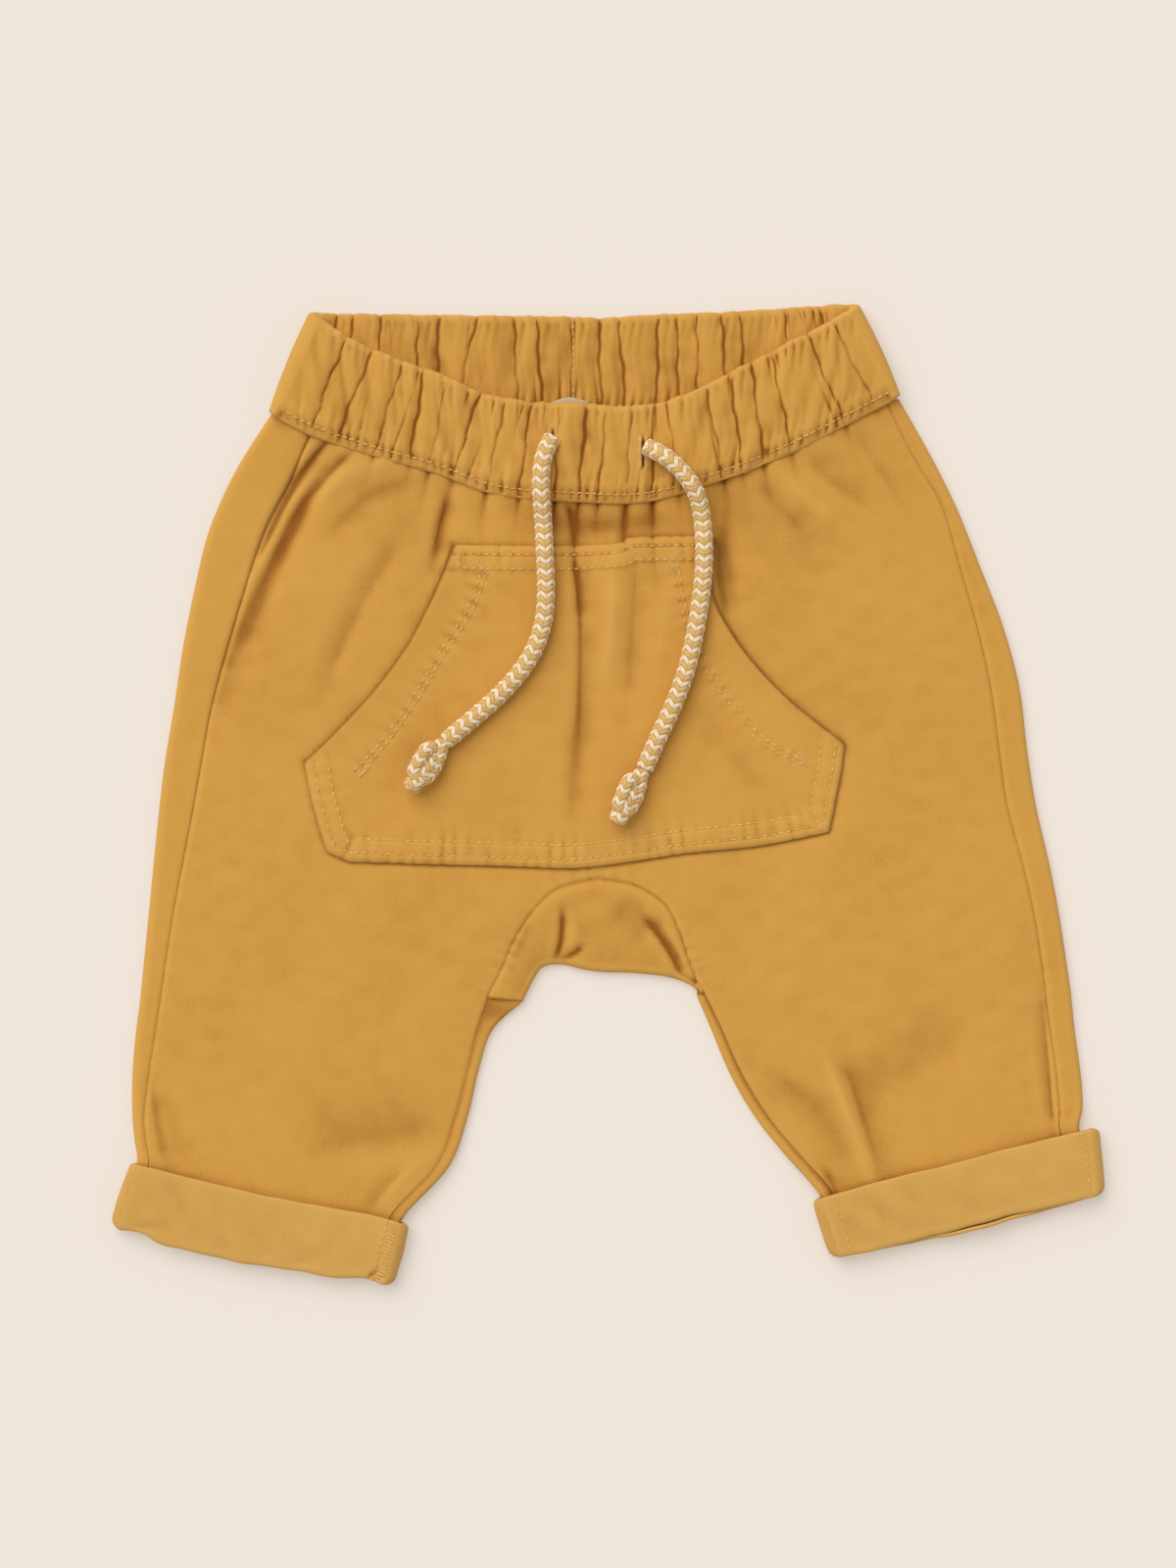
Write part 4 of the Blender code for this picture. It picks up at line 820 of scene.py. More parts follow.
def make_mesh(
    name: str, points: Array, faces: Array, uv: Array, closed: bool = False, painted_shade: Array | float = 0.0
) -> Object:
    """Make an object with a pattern map and a fold attribute of painted shade and painted highlight.

    Args:
        name: The piece's name.
        points: Points in millimetres.
        faces: Four-cornered faces.
        uv: The pattern's place at each point, or at each corner of each face.
        closed: Whether the surface closes, so that it can be turned to face outwards.
        painted_shade: What is added to the fold attribute at each point.

    Returns:
        The object, in the scene.
    """
    points = np.asarray(points, float)
    if closed:
        a, b, c, d = (points[faces[:, k]] for k in range(4))
        volume = (np.cross(b - a, c - a) * (a + b + c)).sum() + (np.cross(c - a, d - a) * (a + c + d)).sum()
        if volume < 0:
            faces, uv = faces[:, ::-1], uv[:, ::-1]
    mesh = fill_mesh(name, points * MM, faces.ravel(), np.arange(0, faces.size, 4))
    corners = uv if uv.ndim == 3 else uv[faces]
    mesh.uv_layers.new(name="pattern").data.foreach_set("uv", corners.astype(np.float32).ravel())
    normals = read_all(mesh.vertex_normals, "vector", 3, np.float32).reshape(-1, 3)
    # The fold attribute: painted shade in creases, seams and shadows, and painted highlight on ridges.
    shade = fold_shade(points, faces, normals) + painted_shade
    mesh.attributes.new("fold", "FLOAT", "POINT").data.foreach_set("value", shade.astype(np.float32))
    return add_object(name, mesh)


def grid_mesh(name: str, grid: Array, uv: Array, painted_shade: Array | float = 0.0, flip: bool = False) -> Object:
    """Make a sheet from rows of points.

    Args:
        name: The piece's name.
        grid: The points, row by row.
        uv: The pattern's place at each.
        painted_shade: What is added to the fold attribute at each.
        flip: Whether the faces are turned over.

    Returns:
        The object.
    """
    faces = quads(np.arange(grid[..., 0].size).reshape(grid.shape[:2]))
    return make_mesh(
        name, grid.reshape(-1, 3), faces[:, ::-1] if flip else faces, uv.reshape(-1, 2), painted_shade=np.ravel(painted_shade)
    )


def corner_places(rows: Array, columns: Array) -> tuple[Array, Array]:
    """Give the corners of a grid's cells the values of their rows and columns.

    Args:
        rows: A value for each row of points.
        columns: A value for each column.

    Returns:
        The two values at each cell's four corners.
    """
    i, j = np.divmod(np.arange((len(rows) - 1) * (len(columns) - 1)), len(columns) - 1)
    down = np.stack([rows[i], rows[i + 1], rows[i + 1], rows[i]], axis=1)
    return down, np.stack([columns[j], columns[j], columns[j + 1], columns[j + 1]], axis=1)


def ring_mesh(name: str, ring: Array, u: Array, v: Array, painted_shade: Array) -> Object:
    """Make a closed ring of closed sections.

    Args:
        name: The piece's name.
        ring: The sections' points.
        u: The pattern's place at each section, and at the first one again.
        v: Its place at each point of a section, and at the first one again.
        painted_shade: What is added to the fold attribute at each point.

    Returns:
        The object.
    """
    index = np.arange(ring[..., 0].size).reshape(ring.shape[:2])
    uv = np.stack(corner_places(u, v), axis=-1)
    faces = quads(index, wrap_rows=True, wrap_columns=True)
    return make_mesh(name, ring.reshape(-1, 3), faces, uv, closed=True, painted_shade=painted_shade.ravel())


def unit(vectors: Array) -> Array:
    """Scale each vector to a length of 1."""
    return vectors / np.maximum(np.linalg.norm(vectors, axis=-1, keepdims=True), 1e-9)


def left_of(line: Array) -> Array:
    """Directions to the left of a line in plan."""
    along = unit(np.gradient(line, axis=0))
    return np.stack([-along[:, 1], along[:, 0]], axis=1)


def lifted(plan: Array, z: Array | float) -> Array:
    """Give points in plan their heights."""
    return np.concatenate([plan, np.broadcast_to(z, plan.shape[:-1])[..., None]], axis=-1)


def between(first: Array, last: Array, shares: Array) -> Array:
    """Lay points between two lines, row by row, at shares of the way."""
    return first[:, None] + shares[:, None] * (last - first)[:, None]


def run_across(grid: Array) -> Array:
    """Distance along each row of points, from its first one."""
    steps = np.linalg.norm(np.diff(grid, axis=1), axis=-1)
    return np.concatenate([np.zeros((len(grid), 1)), np.cumsum(steps, axis=1)], axis=1)


def round_edge(
    outer: Array, inward: Array, reach: Array, top: Array, low: Array | float, steps: int
) -> Array:
    """Round a folded edge from the upper cloth to the lower one.

    Args:
        outer: The fold's outermost points in plan.
        inward: Directions from them into the piece.
        reach: How far in the round goes.
        top: Heights of the upper cloth.
        low: Heights of the lower cloth.
        steps: How many steps the round takes.

    Returns:
        The points, section by section.
    """
    angle = np.linspace(0.5 * math.pi, -0.5 * math.pi, steps + 1)
    plan = outer[:, None] + inward[:, None] * (reach[:, None] * (1 - np.cos(angle)))[..., None]
    return lifted(plan, (0.5 * (top + low))[:, None] + (0.5 * (top - low))[:, None] * np.sin(angle))


# ---------------------------------------------------------------- finishes


def add_node(tree: NodeTree, kind: str, inputs: dict | None = None, **settings: object) -> Node:
    """Add a node to a tree.

    Args:
        tree: The tree.
        kind: The node's type.
        inputs: Values or sockets for its inputs, by name or number.
        **settings: Its other properties.

    Returns:
        The node.
    """
    made = tree.nodes.new(kind)
    for key, value in settings.items():
        setattr(made, key, value)
    for key, value in (inputs or {}).items():
        if isinstance(value, NodeSocket):
            tree.links.new(value, made.inputs[key])
        else:
            made.inputs[key].default_value = value
    return made


class Graph:
    """Nodes of one material, added in short calls."""

    def __init__(self, name: str) -> None:
        """Start a material with a plain shader.

        Args:
            name: The material's name.
        """
        self.material = bpy.data.materials.new(name)
        self.material.use_nodes = True
        self.tree = self.material.node_tree
        self.shader = self.tree.nodes["Principled BSDF"]

    def node(self, kind: str, inputs: dict | None = None, **settings: object) -> Node:
        """Add a node to the material."""
        return add_node(self.tree, kind, inputs, **settings)

    def math(self, operation: str, *values: object) -> NodeSocket:
        """Combine numbers or sockets."""
        return self.node("ShaderNodeMath", dict(enumerate(values)), operation=operation).outputs[0]

    def mix(self, share: object, first: object, second: object) -> NodeSocket:
        """Mix two colours by the second one's share."""
        return self.node("ShaderNodeMix", {0: share, 6: first, 7: second}, data_type="RGBA").outputs[2]

    def stretch(
        self, vector: NodeSocket, scale: tuple[float, float, float], turn: float = 0.0
    ) -> NodeSocket:
        """Scale a pattern's place each way and turn it in the plane."""
        inputs = {"Vector": vector, "Scale": scale, "Rotation": (0.0, 0.0, turn)}
        return self.node("ShaderNodeMapping", inputs).outputs[0]

    def noise(self, vector: NodeSocket, scale: float, detail: float = 2.0) -> NodeSocket:
        """Add noise of about 0 to 1, with detail as its finer layers."""
        inputs = {"Vector": vector, "Scale": scale, "Detail": detail}
        return self.node("ShaderNodeTexNoise", inputs).outputs[0]

    def range(self, value: object, low: float, high: float, start: float, end: float) -> NodeSocket:
        """Map a value from low and high to start and end, and stop there."""
        return self.node("ShaderNodeMapRange", {0: value, 1: low, 2: high, 3: start, 4: end}).outputs[0]

    def bump(self, height: NodeSocket, strength: float, distance: float) -> None:
        """Raise the shader's surface by a relief; the distance is in metres."""
        made = self.node("ShaderNodeBump", {"Height": height, "Strength": strength, "Distance": distance})
        self.tree.links.new(made.outputs[0], self.shader.inputs["Normal"])

    def colour(self, value: NodeSocket) -> None:
        """Link the shader's colour."""
        self.tree.links.new(value, self.shader.inputs["Base Color"])

    def plain(self, **values: float | tuple) -> None:
        """Set the shader's own sockets, named with _ for a space."""
        for key, value in values.items():
            self.shader.inputs[key.replace("_", " ")].default_value = value


@dataclass(frozen=True)
class ClothFinish:
    """Garment-washed cotton twill: fine diagonal weave and slubs, with painted shade in its folds and painted
    highlight on its ridges.
    """

    name: str
    colour: tuple[float, float, float]
    # deep is the painted shade colour of creases and pale the painted highlight colour of ridges; the random
    # tone also leans a little towards them.
    deep: tuple[float, float, float]
    pale: tuple[float, float, float]
    roughness: float = 0.85
    sheen: float = 0.12
    twill: float = 0.62
    painted_shade_gain: float = 1.1

    def make(self) -> Material:
        """Build the material from the piece's own pattern map and fold attribute, whose painted shade and
        highlight pull the colour towards deep and pale.

        Returns:
            The material.
        """
        graph = Graph(self.name)
        place = graph.node("ShaderNodeUVMap", uv_map="pattern").outputs[0]
        fold = graph.node("ShaderNodeAttribute", attribute_name="fold").outputs[2]
        cloud = graph.noise(place, 0.022, 3.0)
        mottle = graph.noise(place, 0.16, 3.0)
        weft = graph.noise(graph.stretch(place, (0.14, 2.6, 1.0)), 1.0)
        warp = graph.noise(graph.stretch(place, (2.9, 0.12, 1.0)), 1.0)
        slub = graph.math("ADD", weft, warp)
        split = graph.node("ShaderNodeSeparateXYZ", {0: place})
        diagonal = graph.math("ADD", split.outputs[0], graph.math("MULTIPLY", split.outputs[1], 0.82))
        twill = graph.math("SINE", graph.math("MULTIPLY", diagonal, 2 * math.pi / self.twill))
        grain = graph.noise(place, 1.5, 3.0)
        tone = graph.math("MULTIPLY", twill, 0.05)
        for value, low, high, share in (
            (cloud, 0.3, 0.7, 0.1), (mottle, 0.3, 0.7, 0.06), (slub, 0.7, 1.3, 0.06), (grain, 0.3, 0.7, 0.1),
        ):
            tone = graph.math("ADD", tone, graph.range(value, low, high, -share, share))
        # Painted shade and highlight: the fold attribute pulls the colour towards deep in creases and towards
        # pale on ridges.
        light = graph.math("SUBTRACT", tone, graph.math("MULTIPLY", fold, self.painted_shade_gain))
        base = graph.mix(graph.range(light, 0.0, 1.0, 0.0, 1.0), (*self.colour, 1), (*self.pale, 1))
        graph.colour(graph.mix(graph.range(light, 0.0, -1.0, 0.0, 1.0), base, (*self.deep, 1)))
        relief = graph.math("ADD", graph.math("MULTIPLY", twill, 0.35), graph.math("MULTIPLY", slub, 0.5))
        graph.bump(graph.math("ADD", relief, graph.math("MULTIPLY", grain, 0.9)), 0.35, 0.00016)
        graph.plain(
            Roughness=self.roughness, Sheen_Weight=self.sheen, Sheen_Roughness=0.5, Specular_IOR_Level=0.18
        )
        return graph.material


@dataclass(frozen=True)
class BraidFinish:
    """Round braided cord: zigzag rows of pale yarn between rows of gold yarn, with painted shade in the
    hollows between them.
    """

    name: str
    pale: tuple[float, float, float]
    gold: tuple[float, float, float]
    # gap is the painted shade colour of the hollows between the yarns.
    gap: tuple[float, float, float]
    strands: int
    row: float
    slant: float

    def make(self) -> Material:
        """Build the material from the cord's own map: turns around it, and millimetres along it.

        Returns:
            The material.
        """
        graph = Graph(self.name)
        place = graph.node("ShaderNodeUVMap", uv_map="pattern").outputs[0]
        split = graph.node("ShaderNodeSeparateXYZ", {0: place})
        column = graph.math("MULTIPLY", split.outputs[0], float(self.strands))
        zigzag = graph.math("SUBTRACT", graph.math("PINGPONG", column, 1.0), 0.5)
        rows = graph.math("DIVIDE", split.outputs[1], self.row)
        phase = graph.math("ADD", rows, graph.math("MULTIPLY", zigzag, self.slant))
        within = graph.math("FRACT", phase)
        crown = graph.math("SINE", graph.math("MULTIPLY", within, math.pi))
        middle = graph.math("SINE", graph.math("MULTIPLY", graph.math("FRACT", column), math.pi))
        pair = graph.math("FRACT", graph.math("MULTIPLY", phase, 0.5))
        from_pale = graph.math("ABSOLUTE", graph.math("SUBTRACT", pair, 0.25))
        is_pale = graph.range(from_pale, 0.22, 0.26, 1.0, 0.0)
        ply = graph.math("SINE", graph.math("MULTIPLY", graph.math("ADD", phase, column), 5.0 * math.pi))
        fleck = graph.noise(place, 2.6)
        pale = graph.mix(graph.range(fleck, 0.45, 0.75, 0.0, 0.55), (*self.pale, 1), (*self.gold, 1))
        gold = graph.mix(graph.range(fleck, 0.4, 0.75, 0.0, 0.3), (*self.gold, 1), (*self.pale, 1))
        yarn = graph.mix(is_pale, gold, pale)
        # Painted shade: the ply lines and the hollows between rows and strands lean towards the gap colour.
        yarn = graph.mix(graph.range(ply, -1.0, 1.0, 0.0, 0.14), yarn, (*self.gap, 1))
        between_rows = graph.range(crown, 0.05, 0.5, 0.0, 1.0)
        painted_hollow_shade = graph.math("MINIMUM", between_rows, graph.range(middle, 0.0, 0.35, 0.35, 1.0))
        graph.colour(graph.mix(painted_hollow_shade, (*self.gap, 1), yarn))
        graph.bump(graph.math("ADD", ply, graph.math("MULTIPLY", fleck, 2.0)), 0.4, 0.0001)
        graph.plain(Roughness=0.75, Sheen_Weight=0.2, Specular_IOR_Level=0.2)
        return graph.material


@dataclass(frozen=True)
class ThreadFinish:
    """Twisted thread or a tape, with a fine streak across its own coordinates."""

    name: str
    colour: tuple[float, float, float]
    deep: tuple[float, float, float]
    scale: float
    roughness: float = 0.6

    def make(self) -> Material:
        """Build the material on Object coordinates.

        Returns:
            The material.
        """
        graph = Graph(self.name)
        place = graph.node("ShaderNodeTexCoord").outputs["Object"]
        streak = graph.noise(graph.stretch(place, (1.0, 1.0, 0.3), 0.7), self.scale)
        graph.colour(graph.mix(graph.range(streak, 0.35, 0.65, 0.0, 1.0), (*self.colour, 1), (*self.deep, 1)))
        graph.bump(streak, 0.3, 0.00008)
        graph.plain(Roughness=self.roughness, Specular_IOR_Level=0.25, Sheen_Weight=0.1)
        return graph.material


@dataclass(frozen=True)
class FloorFinish:
    """Matt pale paper, partly lit from beneath so that its shadows stay faint."""

    name: str
    colour: tuple[float, float, float]
    glow: float = 0.4

    def make(self) -> Material:
        """Build the material, with a trace of unevenness.

        Returns:
            The material.
        """
        graph = Graph(self.name)
        place = graph.node("ShaderNodeTexCoord").outputs["Object"]
        tone = graph.noise(place, 3.0)
        paper = tuple((1 - self.glow) * c for c in self.colour)
        near = tuple(0.992 * c for c in paper)
        graph.colour(graph.mix(tone, (*paper, 1), (*near, 1)))
        graph.plain(Roughness=0.95, Specular_IOR_Level=0.0, Emission_Strength=self.glow)
        graph.plain(Emission_Color=(*self.colour, 1))
        return graph.material


class Wardrobe:
    """Every finish of the garment, made once."""

    def __init__(self) -> None:
        """Make the materials."""
        # Each cloth's second and third colours are its painted shade and painted highlight colours.
        self.cloth = ClothFinish(
            "mustard_twill", (0.624, 0.312, 0.0555), (0.28, 0.092, 0.006), (0.71, 0.40, 0.09)
        ).make()
        self.reverse = ClothFinish(
            "mustard_twill_reverse", (0.63, 0.347, 0.078), (0.33, 0.14, 0.022), (0.72, 0.43, 0.12),
            roughness=0.92, sheen=0.2,
        ).make()
        self.braid = BraidFinish(
            "zigzag_braid", (0.97, 0.82, 0.62), (0.72, 0.44, 0.11), (0.48, 0.25, 0.055),
            Drawcord.strands, Drawcord.row, Drawcord.slant,
        ).make()
        self.thread = ThreadFinish("mustard_thread", (0.83, 0.525, 0.175), (0.65, 0.37, 0.09), 900.0).make()
        self.tape = ThreadFinish("label_tape", (0.56, 0.45, 0.29), (0.48, 0.38, 0.23), 700.0, 0.8).make()


# ---------------------------------------------------------------- cloth pieces


@dataclass
class Piece:
    """A piece of the garment: what it is called, what it stands for and how it is finished."""

    name: str
    nodes: tuple[str, ...]
    slot: Slot

    def dress(self, obj: Object, material: Material, wall: float = 0.0) -> Object:
        """Give the object its wall and finish, and tie it to the model.

        Args:
            obj: The piece's object.
            material: Its finish.
            wall: The thickness of a sheet, half on each side.

        Returns:
            The same object.
        """
        if wall:
            solid = obj.modifiers.new("Wall", "SOLIDIFY")
            solid.thickness = wall * MM
            solid.offset = 0.0
        obj.data.materials.clear()
        obj.data.materials.append(material)
        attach(obj, ROOT)
        if self.nodes:
            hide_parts(*self.nodes)
        nodes = ", ".join(self.nodes) or "nothing"
        LOG.info("%s: %d faces, stands for %s", self.name, len(obj.data.polygons), nodes)
        return obj


@dataclass
class FrontPanel(Piece):
    """The trouser front, cut in one from side seam to side seam."""

    columns: int = 128
    waist_tuck: float = 1.6
    # Painted shade line along the side seams and, in the legs, the inner edges.
    seam_painted_shade: float = 0.75
    cut: tuple[float, float] = (0.330, 0.300)
    cut_area: float = 0.0655

    def half_grid(self, half: HalfPlan) -> Array:
        """Lay out one half.

        Args:
            half: The half of the body.

        Returns:
            Points from the side seam to the inner edge, row by row.
        """
        rows = half.sections(STEPS)
        t = np.linspace(0, 1, self.columns)
        u = 0.45 * t + 0.275 * (1 - np.cos(math.pi * t))
        seam_x = rows["seam_x"] - half.side * SEAM_LAP
        x = seam_x[:, None] * (1 - u) + rows["front_x"][:, None] * u
        y = rows["seam_y"][:, None] * (1 - u) + rows["front_y"][:, None] * u
        share = np.clip(1 - STEPS / 3.0, 0, 1) ** 2
        y = y + share[:, None] * (y_on(FRONT_SEAM, x[0]) + self.waist_tuck - y[0])
        return np.stack([x, y, UPPER.height(x, y, rows["raise"][:, None])], axis=-1)

    def build(self, wardrobe: Wardrobe) -> Object:
        """Make the panel.

        Args:
            wardrobe: The finishes.

        Returns:
            The piece.
        """
        left, right = self.half_grid(LEFT_HALF), self.half_grid(RIGHT_HALF)
        rows = len(STEPS)
        index = np.arange(rows * self.columns).reshape(rows, self.columns)
        other = index + rows * self.columns
        shared = int((STEPS <= APEX_ROW).sum())
        other[:shared, -1] = index[:shared, -1]
        points = np.concatenate([left.reshape(-1, 3), right.reshape(-1, 3)])
        # Painted shade from the upper cloth, and a painted shade line along the seam edges.
        painted_shade = UPPER.shade(points[:, 0], points[:, 1])
        by_row = painted_shade.reshape(2, rows, self.columns)
        by_row[:, :, 0] += self.seam_painted_shade
        by_row[:, shared:, -1] += self.seam_painted_shade
        faces = np.concatenate([quads(index), quads(other)[:, ::-1]])
        used, faces = np.unique(faces, return_inverse=True)
        points = points[used]
        obj = make_mesh(self.name, points, faces.reshape(-1, 4), points[:, :2], painted_shade=painted_shade[used])
        self.dress(obj, wardrobe.cloth, CLOTH)
        return obj


@dataclass
class BackPanel(Piece):
    """A back leg, which goes round the outline to the side seam and round the inner edge to the inseam."""

    half: HalfPlan = LEFT_HALF
    wrap_steps: int = 10
    roll_steps: int = 8
    under_steps: int = 34
    wrinkle: float = 0.28
    # Painted shade line along the side seam and, in the leg, the inseam.
    seam_painted_shade: float = 0.6
    cut: tuple[float, float] = (0.185, 0.300)
    cut_area: float = 0.0395

    def build(self, wardrobe: Wardrobe) -> Object:
        """Make the panel.

        Args:
            wardrobe: The finishes.

        Returns:
            The piece.
        """
        side = self.half.side
        raised = self.half.sections(STEPS)["raise"]
        columns = ("edge", "seam", "front", "back")
        edge, seam, front, inner = (plan_line(self.half, column, STEPS) for column in columns)
        seam = seam + (side * SEAM_LAP, 0.0)
        low = BACK_Z + raised * (LEG_END_BACK_Z - BACK_Z)
        across = unit(inner - edge)
        reach = EDGE_ROLL - 0.9 * raised
        outer = edge + across * 0.5 * CLOTH
        shoulder = outer + across * reach[:, None]
        strip = between(seam, shoulder, np.linspace(0, 1, self.wrap_steps, endpoint=False))
        strip = lifted(strip, UPPER.height(strip[..., 0], strip[..., 1], raised[:, None]))
        top = UPPER.height(shoulder[:, 0], shoulder[:, 1], raised)
        outer_roll = round_edge(outer, across, reach, top, low, self.roll_steps)

        leg = STEPS > CROTCH_ROW
        end = np.where(leg[:, None], inner - across * 0.5 * CLOTH, inner - across * PANEL_GAP)
        gap = np.linalg.norm(inner - front, axis=1)
        end_reach = np.where(leg, np.minimum(reach, 0.45 * np.maximum(gap, 0.5)), 2.0)
        far = end - across * end_reach[:, None]
        seam_end = front + across * SEAM_LAP
        seam_z = UPPER.height(seam_end[:, 0], seam_end[:, 1], raised)
        inner_roll = round_edge(end, -across, end_reach, seam_z, low, self.roll_steps)[:, ::-1][:, 1:]
        inner_roll[:, -1] = lifted(seam_end, seam_z)
        flat_end = lifted(between(far, end, np.linspace(0, 1, self.roll_steps + 1)[1:]), low[:, None])
        ending = np.where(leg[:, None, None], inner_roll, flat_end)

        s = np.linspace(0, 1, self.under_steps)[1:]
        under = between(shoulder, far, s)
        to_seam = y_on(BACK_SEAM, under[0, :, 0]) + 0.8 - under[0, :, 1]
        share = np.clip(1 - STEPS / 1.5, 0, 1)[:, None] ** 2
        under[..., 1] += share * to_seam * np.minimum(1.0, 4 * s)
        wrinkles = np.clip(Wrinkles(21 + side, 18.0, 60.0).at(under[..., 0], under[..., 1]), 0, 1)
        window = np.sin(math.pi * s) * (1 - raised[:, None])
        under = lifted(under, low[:, None] + self.wrinkle * wrinkles * window)
        grid = np.concatenate([strip, outer_roll, under, ending], axis=1)
        u = side * run_across(grid) + seam[:, :1]
        uv = np.stack([u, np.broadcast_to(seam[:, 1:], u.shape)], axis=-1)
        # Painted shade on the upper face only, a painted shade line along both seams, and painted shadow on
        # the inner roll just below the gusset.
        painted_shade = np.where(grid[..., 2] > low[:, None] + 1.0, UPPER.shade(grid[..., 0], grid[..., 1]), 0.0)
        painted_shade[:, 0] += self.seam_painted_shade
        painted_shade[leg, -1] += self.seam_painted_shade
        painted_shade[:, -self.roll_steps :] += 0.3 * hump(STEPS - CROTCH_ROW - 1.2, 0.8)[:, None]
        obj = grid_mesh(self.name, grid, uv, painted_shade, flip=side < 0)
        self.dress(obj, wardrobe.cloth, CLOTH)
        return obj


@dataclass
class Gusset(Piece):
    """The horseshoe piece at the crotch, folded from the front to the back."""

    stations: int = 96
    top_steps: int = 16
    under_steps: int = 14
    roll_steps: int = 8
    fold_reach: float = 1.6
    swell: float = 0.5
    # Darkens the upper face all over.
    base_dark: float = 0.13
    # Painted shade line along the seam.
    seam_painted_shade: float = 0.5
    cut: tuple[float, float] = (0.112, 0.052)

    def build(self, wardrobe: Wardrobe) -> Object:
        """Make the piece.

        Args:
            wardrobe: The finishes.

        Returns:
            The piece.
        """
        legs = (half.rows[CROTCH_ROW + 1][4:8] for half in (LEFT_HALF, RIGHT_HALF))
        left, right = (np.array(row).reshape(2, 2) for row in legs)
        hem = smooth_curve(GUSSET_FOLD, np.linspace(0, 1, 200))
        seam = even_points(np.concatenate([left[:1], gusset_seam(60), right[:1]]), self.stations)
        fold = even_points(np.concatenate([left[1:], hem, right[1:]]), self.stations)
        length = np.linalg.norm(seam - fold, axis=1)
        across = unit(seam - fold)
        reach = np.minimum(self.fold_reach, 0.3 * length)
        outer = fold + across * 0.5 * CLOTH
        shoulder = outer + across * reach[:, None]
        end = seam - across * SEAM_LAP
        t = np.linspace(0, 1, self.top_steps, endpoint=False)
        upper = between(end, shoulder, t)
        x, y = upper[..., 0], upper[..., 1]
        top = UPPER.height(shoulder[:, 0], shoulder[:, 1])
        under = between(shoulder, end, np.linspace(0, 1, self.under_steps)[1:])
        grid = np.concatenate([
            lifted(upper, UPPER.height(x, y) + self.swell * np.sin(math.pi * t)),
            round_edge(outer, across, reach, top, BACK_Z, self.roll_steps), lifted(under, BACK_Z),
        ], axis=1)
        u = run_across(grid)
        uv = np.stack([np.broadcast_to(run_of(seam)[:, None], u.shape), u], axis=-1)
        # Darker all over the upper face, with the upper cloth's painted shade and a painted shade line along
        # the seam.
        painted_shade = np.zeros(u.shape)
        painted_shade[:, : self.top_steps] = self.base_dark + UPPER.shade(x, y)
        painted_shade[:, 0] += self.seam_painted_shade
        obj = grid_mesh(self.name, grid, uv, painted_shade, flip=True)
        self.dress(obj, wardrobe.cloth, CLOTH)
        return obj


